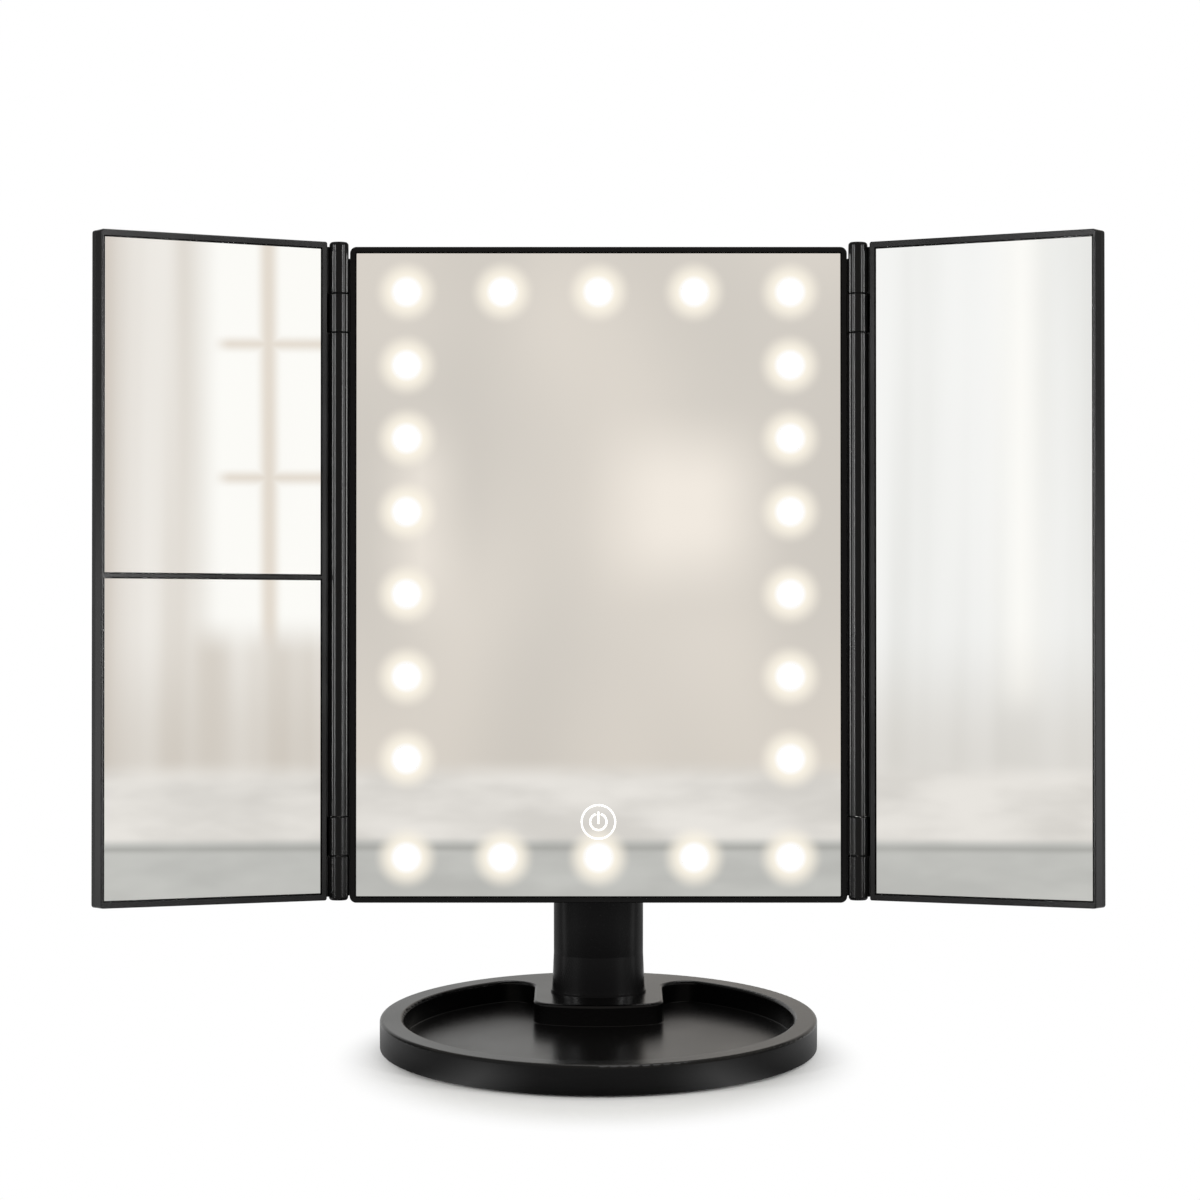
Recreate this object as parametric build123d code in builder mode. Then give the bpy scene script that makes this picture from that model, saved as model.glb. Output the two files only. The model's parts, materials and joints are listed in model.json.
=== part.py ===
from build123d import *
import os

os.makedirs("parts", exist_ok=True)

# Free-standing vanity mirror: a lighted centre panel with two side wings, carried on a
# tilting joint by a post that stands in a round tray.
# Millimetres and degrees. Z is up, the mirrors look towards -Y, X is the looker's right.
# The origin is the middle of the foot pad's underside.

# ---------------------------------------------------------------- driving sizes: stand
PAD_INSET = 12.5             # foam foot pad's edge inside the tray's
PAD_T = 1.2
BASE_LIFT = 0.8              # tray's lower edge above the table
BASE_R = 79.0                # outside of the round tray
BASE_H = 11.4                # top of the rim above the table
RIM_W = 8.5                  # width of the rim's top
RIM_ROUND = 1.2
TRAY_DEPTH = 8.0             # rim top to tray floor
FLOOR_ROUND = 0.3
SHELL_WALL = 2.0             # outer wall and roof of the tray moulding
INNER_WALL = 1.6             # wall between the hollow rim and the tray
BASE_PLATE_T = 1.2
PEDESTAL_W = 48.0            # raised tongue that carries the post
PEDESTAL_FRONT_Y = 17.2      # middle of the bowed front
PEDESTAL_BOW = 5.2
PEDESTAL_CORNER_R = 8.5
PEDESTAL_BLEND_R = 9.0
BASE_SCREW_COUNT = 4

POST_FRONT_Y = 31.6          # middle of the rounded front
POST_W = 33.2
POST_D = 20.0
POST_NOSE = 12.0             # depth of the half-elliptical front
POST_CORNER_R = 4.5
POST_WALL = 2.5
POST_FLARE = 0.7             # growth of the foot on each side
POST_FLARE_H = 14.6
POST_LIP = 0.4               # thin lip round the foot
POST_LIP_H = 0.8
POST_BOSS_R = 3.0
POST_BOSS_H = 12.0
POST_RIB_T = 1.6             # ribs that tie the screw bosses to the walls
POST_SCREW_X = 7.5
POST_SCREW_Y = 4.0           # from the post's middle
KNUCKLE_SOLID = 15.0         # solid stretch of the post below the tilt axis

# ---------------------------------------------------------------- driving sizes: tilt joint
PIVOT_Z = 77.5               # tilt axis above the table
TILT = 7.0                   # lean of the head at rest
PIVOT_RISE = 30.0            # tilt axis above the lower edge of the panel
BACK_REACH = 10.8            # tilt axis behind the back of the panel
BOLT_R = 3.0
BOLT_HEAD_R = 4.8
BOLT_HEAD_T = 3.0
BUSH_WALL = 0.95
BUSH_LENGTH = 12.0
FLANGE_R = 6.5
FLANGE_T = 0.6
EAR_T = 8.0
EAR_R = 9.5
EAR_ROOT = 34.0              # height of an ear where it leaves the plate
SPRING_WASHER_R = 5.2
SPRING_WASHER_T = 1.0
CAP_R = 6.0
CAP_T = 1.0
CAP_DOME = 0.5
BRACKET_W = 70.0
BRACKET_H = 44.0
BRACKET_T = 3.0
BRACKET_CORNER_R = 3.0
BRACKET_PAD_T = 2.6          # thickness of the shell wall that backs the bracket
BRACKET_SCREW_X = 30.0
BRACKET_SCREW_Z = 15.0

# ---------------------------------------------------------------- driving sizes: centre panel
PANEL_W = 180.4
PANEL_H = 238.0
PANEL_T = 20.0
PANEL_CORNER_R = 2.4
BEZEL = 1.8                  # visible edge round the glass
CASE_WALL = 2.0
FRAME_T = 8.0                # front frame to the parting line
SEAM = 0.3                   # chamfers that make the parting line
BACK_ROUND = 3.0
GLASS_RECESS = 0.2
GLASS_T = 2.0
GLASS_CORNER_R = 0.8
GLASS_BEVEL = 0.5
TAPE_T = 0.2
TAPE_W = 7.0
CARRIER_T = 1.5              # wall of the frame behind the glass

LED_COLUMNS = 5
LED_SIDE = 20.6              # outer LED columns to the panel's side edges
LED_EDGE = 16.4              # outer LED rows to the panel's upper and lower edges
LED_UPPER_PITCH = 26.6
LED_LOWER_PITCH = 29.9
LED_WINDOW_R = 4.5
LED_APERTURE_R = 3.5
LED_CHIP = 3.5
LED_CHIP_T = 0.7
LED_BOARD_W = 10.0
LED_BOARD_T = 1.0
LED_BOARD_END = 5.0          # board past its last LED

ICON_RISE = 29.3             # touch key above the lower edge of the panel
ICON_R = 6.4
ICON_RING = 0.6
ICON_ARC_R = 3.3
ICON_ARC_W = 0.65
ICON_ARC_GAP = 2.2
ICON_BAR_W = 0.6
ICON_BAR_TOP = 3.7
ICON_BAR_BOTTOM = -0.7
ICON_T = 0.3
SENSOR_R = 8.0
SENSOR_T = 1.5

CASE_SCREW_SIDE = 9.0        # case screws to the panel's side edges
CASE_SCREW_EDGE = 34.0       # upper and lower case screws to the panel's edges
BOSS_R = 4.2
FRAME_BOSS_R = 3.5
HEAD_SINK = 2.5              # depth of the counterbores in the back

# ---------------------------------------------------------------- driving sizes: screws
SCREW_R = 1.25
SCREW_HEAD_R = 2.7
SCREW_HEAD_T = 1.8
SCREW_SLOT_L = 3.0
SCREW_SLOT_W = 0.7
SCREW_SLOT_T = 0.9
SMALL_SCREW_R = 0.9
SMALL_HEAD_R = 1.8
SMALL_HEAD_T = 1.2
CASE_SCREW_L = 12.0
POST_SCREW_L = 11.0
BRACKET_SCREW_L = 4.6
BOARD_SCREW_L = 4.0
BASE_SCREW_L = 7.0
FLAT_HEAD_R = 2.1
FLAT_HEAD_T = 1.1

# ---------------------------------------------------------------- driving sizes: batteries, board
CELL_R = 7.1
CELL_L = 49.5
CELL_NUB_R = 2.75
CELL_NUB_L = 1.0
CELL_COUNT = 4
CELL_PITCH = 14.6
BAY_MID_RISE = 106.0         # middle of the battery bay above the lower edge of the panel
BAY_WALL = 1.2
BAY_FLOOR = 1.0
CONTACT_T = 0.5
CONTACT_SIDE = 11.0
SPRING_L = 4.5
SPRING_R = 5.0
SPRING_TIP_R = 2.6
SPRING_TURNS = 4
SPRING_WIRE = 0.8
DOOR_PIN_R = 0.5
DOOR_PIN_L = 1.5
DOOR_GRIP_W = 16.0
DOOR_GRIP_H = 5.0
DOOR_GRIP_T = 0.8

BOARD_SIDE = 32.0            # middle of the control board to the panel's side edge
BOARD_RISE = 37.0
BOARD_W = 36.0
BOARD_H = 46.0
BOARD_T = 1.2
BOARD_STANDOFF = 4.0         # board to the inside of the back wall
BOARD_BOSS_R = 2.6
BOARD_BOSS_X = 14.0
BOARD_BOSS_Z = 19.0
USB_DROP = 12.0              # socket below the middle of the board
USB_W = 8.0
USB_H = 3.2
USB_WALL = 0.4
USB_TONGUE_T = 0.9
USB_SET_BACK = 0.6           # mouth of the socket inside the back face
SWITCH_RISE = 10.0           # switch above the middle of the board
SWITCH_W = 12.0
SWITCH_H = 6.0
SWITCH_CHANNEL_T = 1.6
KNOB_W = 4.0
KNOB_H = 2.8
KNOB_TRAVEL = 3.0
KNOB_SET_BACK = 0.4
KNOB_RIBS = 3
KNOB_RIB_W = 0.5
KNOB_RIB_T = 0.3
CHIP_SIDE = 8.0
CHIP_T = 1.4
PLUG_W = 6.0
PLUG_T = 3.4
WIRE_R = 0.6
WIRE_BEND = 3.0
WIRE_GAP = 3.0               # spacing of a pair of wires

# ---------------------------------------------------------------- driving sizes: wings, hinges
WING_W = 88.8
WING_H = 238.6
WING_T = 9.5
WING_RISE = 1.0              # lower edge of the wings above the panel's
WING_OPEN = 31.0             # wings come forward of flat by this angle at rest
WING_CORNER_R = 0.8
WING_BEZEL = 2.1             # edge round the glass, except on the outer side
WING_OUTER_BEZEL = 0.8
WING_FRAME_T = 5.2
WING_BACK_WALL = 1.4
WING_BACK_ROUND = 1.6
DIVIDER_W = 1.0
DIVIDER_DROP = 2.4           # divider below the middle of the wing

HINGE_OUT = 3.95             # hinge axis outside the panel's edge
WING_OUT = 4.3               # wing's inner edge outside the hinge axis
HINGE_PROUD = 0.6            # hinge axis in front of the glass side
BARREL_R = 3.5
BARREL_ROUND = 1.2
BARREL_SEAM = 0.15           # gap between neighbouring barrels
GROOVE_H = 0.3               # barrels' ends are cut back by this along and round them
GROOVE_T = 0.6
KNUCKLE_H = 14.0
KNUCKLE_FROM_LOW = 23.2      # middle of the lower knuckle above the end that panel and wings share
KNUCKLE_FROM_HIGH = 24.2     # middle of the upper knuckle below the end that they share
WEB_T = 2.6
WEB_INSET = 1.8              # web stops short of the barrel's upper end
WEB_INSET_LOW = 1.3          # and of its lower end
PIN_R = 1.25
PIN_GRIP = 9.0               # pin inside a wing barrel
GUARD_W = 1.5                # strip on the panel's side that closes the gap behind the barrels
GUARD_GAP = 0.7              # strip behind the barrels
GUARD_END = 4.0              # strip short of the panel's upper end
GUARD_END_LOW = 2.4          # and of its lower end
GUARD_REACH = 1.0            # a wing's strip behind a knuckle comes this close to the hinge axis
GUARD_LAP = 0.8              # and runs on this far behind the barrels above and below

# ---------------------------------------------------------------- clearances
FIT = 0.1                    # glass in its frame, plate in its seat, on each side
LOOSE = 0.3                  # door and knob round their edges
RUN = 0.05                   # a pin in the bore that turns on it
SNUG = 0.02                  # a pin in the bore that holds it
SCREW_GAP = 0.15             # a screw's shank in a through hole

# ---------------------------------------------------------------- derived places
PAD_R = BASE_R - PAD_INSET
PIVOT_Y = POST_FRONT_Y + POST_D / 2
BACK_Y = -BACK_REACH                         # head frame: back of the panel
FRONT_Y = BACK_Y - PANEL_T                   # head frame: front of the panel
PANEL_LOW = -PIVOT_RISE                      # head frame: lower edge of the panel
PANEL_MID = PANEL_LOW + PANEL_H / 2
WING_LOW = PANEL_LOW + WING_RISE
GLASS_W = PANEL_W - 2 * BEZEL
GLASS_H = PANEL_H - 2 * BEZEL
SEAT_DEPTH = GLASS_RECESS + GLASS_T + TAPE_T
CARRIER_BACK = SEAT_DEPTH + CARRIER_T
BACK_WALL_DEPTH = PANEL_T - CASE_WALL
HINGE_X = PANEL_W / 2 + HINGE_OUT
HINGE_Y = FRONT_Y - HINGE_PROUD
PLATE_TOP = BASE_LIFT + BASE_PLATE_T
EAR_X = POST_W / 2 + FLANGE_T                # inner face of an ear
PIVOT = Location((0, PIVOT_Y, PIVOT_Z), (-TILT, 0, 0))


def depth_plane(depth):
    """Plane at this depth behind the front of the panel, looking forward, in the head frame."""
    return Plane.XZ.offset(-(FRONT_Y + depth))


def save(piece, name, place=Location()):
    """Label a finished piece, put it in its place and write it."""
    placed = place * piece.part
    placed.label = name
    export_step(placed, f"parts/{name}.step")


def pan_screws(plane, points, head_r, head_t, shank_r, shank_l):
    """Pan-head screws whose heads start on the plane and whose tips point along its normal."""
    with BuildPart() as screws:
        with BuildSketch(plane):
            with Locations(*points):
                Circle(head_r)
        extrude(amount=head_t)
        with BuildSketch(plane.offset(head_t)):
            with Locations(*points):
                Circle(shank_r)
        extrude(amount=shank_l)
        with BuildSketch(plane):
            with Locations(*points):
                Rectangle(SCREW_SLOT_L, SCREW_SLOT_W)
                Rectangle(SCREW_SLOT_W, SCREW_SLOT_L)
        extrude(amount=SCREW_SLOT_T, mode=Mode.SUBTRACT)
    return screws


# ================================================================ stand
# Plan of the pedestal: a tongue with a bowed front, from the rim towards the middle.
PEDESTAL_SHOULDER_Y = PEDESTAL_FRONT_Y + PEDESTAL_BOW
with BuildSketch() as pedestal_plan:
    with BuildLine():
        ThreePointArc(
            (-PEDESTAL_W / 2, PEDESTAL_SHOULDER_Y),
            (0, PEDESTAL_FRONT_Y),
            (PEDESTAL_W / 2, PEDESTAL_SHOULDER_Y),
        )
        Polyline(
            (PEDESTAL_W / 2, PEDESTAL_SHOULDER_Y),
            (PEDESTAL_W / 2, BASE_R),
            (-PEDESTAL_W / 2, BASE_R),
            (-PEDESTAL_W / 2, PEDESTAL_SHOULDER_Y),
        )
    make_face()
    fillet(pedestal_plan.vertices().group_by(Axis.Y)[0], PEDESTAL_CORNER_R)

# Plan of the hollow in the tray: a circle with the pedestal left standing at the back.
with BuildSketch() as tray_plan:
    Circle(BASE_R - RIM_W)
    add(pedestal_plan.sketch, mode=Mode.SUBTRACT)
    fillet(tray_plan.vertices().group_by(Axis.Y)[-1], PEDESTAL_BLEND_R)


def post_plan(growth):
    """Plan of the post grown on all sides: half an ellipse in front, rounded corners behind."""
    half_w = POST_W / 2 + growth
    shoulder_y = POST_FRONT_Y + POST_NOSE
    back_y = POST_FRONT_Y + POST_D + growth
    with BuildSketch() as plan:
        with BuildLine():
            EllipticalCenterArc(
                (0, shoulder_y), half_w, POST_NOSE + growth, start_angle=180, arc_size=180
            )
            Polyline(
                (half_w, shoulder_y), (half_w, back_y), (-half_w, back_y), (-half_w, shoulder_y)
            )
        make_face()
        fillet(plan.vertices().group_by(Axis.Y)[-1], POST_CORNER_R + growth)
    return plan.sketch


RIM_HOLLOW_W = RIM_W - SHELL_WALL - INNER_WALL
RIM_SCREW_R = BASE_R - SHELL_WALL - RIM_HOLLOW_W / 2
POST_SCREWS = [
    (x, PIVOT_Y + y)
    for x in (-POST_SCREW_X, POST_SCREW_X)
    for y in (-POST_SCREW_Y, POST_SCREW_Y)
]

with BuildPart() as base_tray:
    with BuildSketch(Plane.XY.offset(BASE_LIFT)):
        Circle(BASE_R)
    extrude(amount=BASE_H - BASE_LIFT)
    with BuildSketch(Plane.XY.offset(BASE_H)):
        add(tray_plan.sketch)
    extrude(amount=-TRAY_DEPTH, mode=Mode.SUBTRACT)
    fillet(base_tray.faces().sort_by(Axis.Z)[-1].edges(), RIM_ROUND)
    floor_z = BASE_H - TRAY_DEPTH
    floor = base_tray.faces().filter_by(Axis.Z).filter_by_position(Axis.Z, floor_z - FIT, floor_z + FIT)
    fillet(floor[0].edges(), FLOOR_ROUND)
    with BuildSketch(Plane.XY.offset(BASE_LIFT)):
        Circle(BASE_R - SHELL_WALL)
    extrude(amount=BASE_PLATE_T, mode=Mode.SUBTRACT)
    with BuildSketch(Plane.XY.offset(PLATE_TOP)):
        Circle(BASE_R - SHELL_WALL)
        offset(tray_plan.sketch, amount=INNER_WALL, mode=Mode.SUBTRACT)
    extrude(amount=BASE_H - SHELL_WALL - PLATE_TOP, mode=Mode.SUBTRACT)
    # screw bosses that fill the hollow rim from wall to wall
    with BuildSketch(Plane.XY.offset(PLATE_TOP)):
        with PolarLocations(RIM_SCREW_R, BASE_SCREW_COUNT, start_angle=45):
            Circle(RIM_HOLLOW_W / 2 + FIT)
    extrude(amount=BASE_H - SHELL_WALL - PLATE_TOP)
    with BuildSketch(Plane.XY.offset(PLATE_TOP)):
        with PolarLocations(RIM_SCREW_R, BASE_SCREW_COUNT, start_angle=45):
            Circle(SCREW_R + SNUG)
    extrude(amount=BASE_SCREW_L, mode=Mode.SUBTRACT)
    # through holes for the post's screws
    with BuildSketch(Plane.XY.offset(BASE_H)):
        with Locations(*POST_SCREWS):
            Circle(SCREW_R + SCREW_GAP)
    extrude(amount=-SHELL_WALL, mode=Mode.SUBTRACT)
save(base_tray, "base_tray")

with BuildPart() as base_plate:
    with BuildSketch(Plane.XY.offset(BASE_LIFT)):
        Circle(BASE_R - SHELL_WALL - FIT)
    extrude(amount=BASE_PLATE_T)
    with BuildSketch(Plane.XY.offset(BASE_LIFT)):
        Circle(PAD_R + FIT)
    extrude(amount=PAD_T - BASE_LIFT, mode=Mode.SUBTRACT)
    with Locations(Plane.XY.offset(BASE_LIFT)):
        with PolarLocations(RIM_SCREW_R, BASE_SCREW_COUNT, start_angle=45):
            Cone(
                FLAT_HEAD_R + RUN, SCREW_R + RUN, FLAT_HEAD_T + RUN,
                align=(Align.CENTER, Align.CENTER, Align.MIN), mode=Mode.SUBTRACT,
            )
            Cylinder(
                SCREW_R + RUN, BASE_PLATE_T,
                align=(Align.CENTER, Align.CENTER, Align.MIN), mode=Mode.SUBTRACT,
            )
save(base_plate, "base_plate")

with BuildPart() as base_screws:
    with Locations(Plane.XY.offset(BASE_LIFT)):
        with PolarLocations(RIM_SCREW_R, BASE_SCREW_COUNT, start_angle=45):
            Cone(
                FLAT_HEAD_R, SCREW_R, FLAT_HEAD_T,
                align=(Align.CENTER, Align.CENTER, Align.MIN),
            )
            Cylinder(SCREW_R, BASE_SCREW_L, align=(Align.CENTER, Align.CENTER, Align.MIN))
    with BuildSketch(Plane.XY.offset(BASE_LIFT)):
        with PolarLocations(RIM_SCREW_R, BASE_SCREW_COUNT, start_angle=45):
            Rectangle(SCREW_SLOT_L, SCREW_SLOT_W)
            Rectangle(SCREW_SLOT_W, SCREW_SLOT_L)
    extrude(amount=SCREW_SLOT_T, mode=Mode.SUBTRACT)
save(base_screws, "base_screws")

with BuildPart() as foot_pad:
    with BuildSketch():
        Circle(PAD_R)
    extrude(amount=PAD_T)
save(foot_pad, "foot_pad")

with BuildPart() as post:
    with BuildSketch(Plane.XY.offset(BASE_H)):
        add(post_plan(0))
    extrude(amount=PIVOT_Z - BASE_H)
    # the head of the post is a drum about the tilt axis
    with BuildSketch(Plane.YZ):
        with Locations((PIVOT_Y, PIVOT_Z)):
            Circle(POST_D / 2)
    extrude(amount=POST_W / 2, both=True)
    # flared foot with a thin lip
    with BuildSketch(Plane.XY.offset(BASE_H)):
        add(post_plan(POST_FLARE))
    with BuildSketch(Plane.XY.offset(BASE_H + POST_FLARE_H)):
        add(post_plan(0))
    loft()
    with BuildSketch(Plane.XY.offset(BASE_H)):
        add(post_plan(POST_FLARE + POST_LIP))
    extrude(amount=POST_LIP_H)
    # hollow shaft with four screw bosses on two ribs
    with BuildSketch(Plane.XY.offset(BASE_H)):
        add(post_plan(-POST_WALL))
    extrude(amount=PIVOT_Z - KNUCKLE_SOLID - BASE_H, mode=Mode.SUBTRACT)
    with BuildSketch(Plane.XY.offset(BASE_H)):
        with Locations(*POST_SCREWS):
            Circle(POST_BOSS_R)
        with Locations((0, PIVOT_Y)):
            with GridLocations(0, 2 * POST_SCREW_Y, 1, 2):
                Rectangle(POST_W, POST_RIB_T)
        add(post_plan(-POST_WALL / 2), mode=Mode.INTERSECT)
    extrude(amount=POST_BOSS_H)
    with BuildSketch(Plane.XY.offset(BASE_H)):
        with Locations(*POST_SCREWS):
            Circle(SCREW_R + SNUG)
    extrude(amount=POST_SCREW_L, mode=Mode.SUBTRACT)
    # bore for the bushes
    with BuildSketch(Plane.YZ):
        with Locations((PIVOT_Y, PIVOT_Z)):
            Circle(BOLT_R + RUN + BUSH_WALL + SNUG)
    extrude(amount=POST_W / 2, both=True, mode=Mode.SUBTRACT)
save(post, "post")

post_screws = pan_screws(
    Plane.XY.offset(BASE_H - SHELL_WALL - SCREW_HEAD_T), POST_SCREWS,
    SCREW_HEAD_R, SCREW_HEAD_T, SCREW_R, POST_SCREW_L,
)
save(post_screws, "post_screws")

with BuildPart() as tilt_bushings:
    for side in (-1, 1):
        with BuildSketch(Plane.YZ.offset(side * POST_W / 2)):
            with Locations((PIVOT_Y, PIVOT_Z)):
                Circle(BOLT_R + RUN + BUSH_WALL)
                Circle(BOLT_R + RUN, mode=Mode.SUBTRACT)
        extrude(amount=-side * BUSH_LENGTH)
        with BuildSketch(Plane.YZ.offset(side * POST_W / 2)):
            with Locations((PIVOT_Y, PIVOT_Z)):
                Circle(FLANGE_R)
                Circle(BOLT_R + RUN, mode=Mode.SUBTRACT)
        extrude(amount=side * FLANGE_T)
save(tilt_bushings, "tilt_bushings")

# ================================================================ tilt joint, head side
# From here on pieces are drawn in the head frame: the origin is on the tilt axis, the panel
# stands upright, and save() leans it back and lifts it onto the post.
BRACKET_SCREWS = [
    (x, z)
    for x in (-BRACKET_SCREW_X, BRACKET_SCREW_X)
    for z in (-BRACKET_SCREW_Z, BRACKET_SCREW_Z)
]
BOLT_HEAD_SINK = SPRING_WASHER_T + BOLT_HEAD_T + CAP_T + FIT
WASHER_X = EAR_X + EAR_T - BOLT_HEAD_SINK    # floor of the pocket in an ear

with BuildPart() as tilt_bracket:
    with BuildSketch(Plane.XZ.offset(-BACK_Y)):
        RectangleRounded(BRACKET_W, BRACKET_H, BRACKET_CORNER_R)
    extrude(amount=BRACKET_T)
    for side in (-1, 1):
        with BuildSketch(Plane.YZ.offset(side * EAR_X)):
            Circle(EAR_R)
            with Locations((BACK_Y - BRACKET_T / 2, 0)):
                Rectangle(BRACKET_T, EAR_ROOT)
            make_hull()
        extrude(amount=side * EAR_T)
        with BuildSketch(Plane.YZ.offset(side * EAR_X)):
            Circle(BOLT_R + RUN)
        extrude(amount=side * EAR_T, mode=Mode.SUBTRACT)
        with BuildSketch(Plane.YZ.offset(side * WASHER_X)):
            Circle(CAP_R + SNUG)
        extrude(amount=side * BOLT_HEAD_SINK, mode=Mode.SUBTRACT)
    with BuildSketch(Plane.XZ.offset(-BACK_Y)):
        with Locations(*BRACKET_SCREWS):
            Circle(SCREW_R + SCREW_GAP)
    extrude(amount=BRACKET_T, mode=Mode.SUBTRACT)
    with BuildSketch(Plane.XZ.offset(-BACK_Y)):
        with Locations(*BRACKET_SCREWS):
            Circle(SCREW_HEAD_R + SCREW_GAP)
    extrude(amount=SCREW_HEAD_T, mode=Mode.SUBTRACT)
save(tilt_bracket, "tilt_bracket", PIVOT)

bracket_screws = pan_screws(
    Plane.XZ.offset(-BACK_Y), BRACKET_SCREWS,
    SCREW_HEAD_R, SCREW_HEAD_T, SCREW_R, BRACKET_SCREW_L,
)
save(bracket_screws, "bracket_screws", PIVOT)

BOLT_HEAD_X = WASHER_X + SPRING_WASHER_T
with BuildPart() as tilt_bolt:
    with BuildSketch(Plane.YZ.offset(-BOLT_HEAD_X)):
        Circle(BOLT_R)
    extrude(amount=2 * BOLT_HEAD_X + BOLT_HEAD_T)
    with BuildSketch(Plane.YZ.offset(-BOLT_HEAD_X)):
        Circle(BOLT_HEAD_R)
    extrude(amount=-BOLT_HEAD_T)
    with BuildSketch(Plane.YZ.offset(-BOLT_HEAD_X - BOLT_HEAD_T)):
        RegularPolygon(BOLT_R, 6)
    extrude(amount=BOLT_HEAD_T / 2, mode=Mode.SUBTRACT)
save(tilt_bolt, "tilt_bolt", PIVOT)

with BuildPart() as tilt_nut:
    with BuildSketch(Plane.YZ.offset(BOLT_HEAD_X)):
        RegularPolygon(BOLT_HEAD_R, 6)
        Circle(BOLT_R + SNUG, mode=Mode.SUBTRACT)
    extrude(amount=BOLT_HEAD_T)
save(tilt_nut, "tilt_nut", PIVOT)

with BuildPart() as spring_washers:
    for side in (-1, 1):
        with BuildSketch(Plane.YZ.offset(side * WASHER_X)):
            Circle(SPRING_WASHER_R)
            Circle(BOLT_R + RUN, mode=Mode.SUBTRACT)
        extrude(amount=side * SPRING_WASHER_T)
save(spring_washers, "tilt_spring_washers", PIVOT)

CAP_X = EAR_X + EAR_T - CAP_T
with BuildPart() as tilt_caps:
    for side in (-1, 1):
        with BuildSketch(Plane.YZ.offset(side * CAP_X)):
            Circle(CAP_R)
        extrude(amount=side * (CAP_T + CAP_DOME))
    rims = tilt_caps.faces().filter_by(Axis.X).sort_by(Axis.X)
    chamfer((rims[0].edges() + rims[-1].edges()), CAP_DOME)
save(tilt_caps, "tilt_caps", PIVOT)

# ================================================================ centre panel
SIDE_LED_Z = [PANEL_LOW + PANEL_H - LED_EDGE]
for pitch in [LED_UPPER_PITCH] * 3 + [LED_LOWER_PITCH] * 3:
    SIDE_LED_Z.append(SIDE_LED_Z[-1] - pitch)
SIDE_LED_Z.append(PANEL_LOW + LED_EDGE)
LED_SIDE_X = PANEL_W / 2 - LED_SIDE
LED_PITCH_X = 2 * LED_SIDE_X / (LED_COLUMNS - 1)
SIDE_LEDS = [(side * LED_SIDE_X, z) for side in (-1, 1) for z in SIDE_LED_Z]
ROW_LEDS = [
    (-LED_SIDE_X + column * LED_PITCH_X, z)
    for z in (SIDE_LED_Z[0], SIDE_LED_Z[-1])
    for column in range(1, LED_COLUMNS - 1)
]
LEDS = SIDE_LEDS + ROW_LEDS

ICON_Z = PANEL_LOW + ICON_RISE
BAY_Z = PANEL_LOW + BAY_MID_RISE
BAY_W = CELL_L + CELL_NUB_L + SPRING_L + 2 * CONTACT_T
BAY_H = CELL_COUNT * CELL_PITCH + FIT
CASE_SCREWS = [
    (side * (PANEL_W / 2 - CASE_SCREW_SIDE), z)
    for side in (-1, 1)
    for z in (PANEL_LOW + CASE_SCREW_EDGE, PANEL_MID, PANEL_LOW + PANEL_H - CASE_SCREW_EDGE)
]
KNUCKLE_Z = [
    max(PANEL_LOW, WING_LOW) + KNUCKLE_FROM_LOW,
    min(PANEL_LOW + PANEL_H, WING_LOW + WING_H) - KNUCKLE_FROM_HIGH,
]
GUARD_DEPTH = BARREL_R - HINGE_PROUD + GUARD_GAP
GUARD_MID = PANEL_MID - (GUARD_END - GUARD_END_LOW) / 2


def barrel(side, low, high, groove_low, groove_high):
    """Hinge barrel, cut back round its edge where it meets another barrel."""
    with BuildPart() as made:
        for radius, start, end in (
            (BARREL_R - GROOVE_T, low, high),
            (BARREL_R, low + groove_low, high - groove_high),
        ):
            with BuildSketch(Plane.XY.offset(start)):
                with Locations((side * HINGE_X, HINGE_Y)):
                    Circle(radius)
            extrude(amount=end - start)
    return made.part


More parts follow.
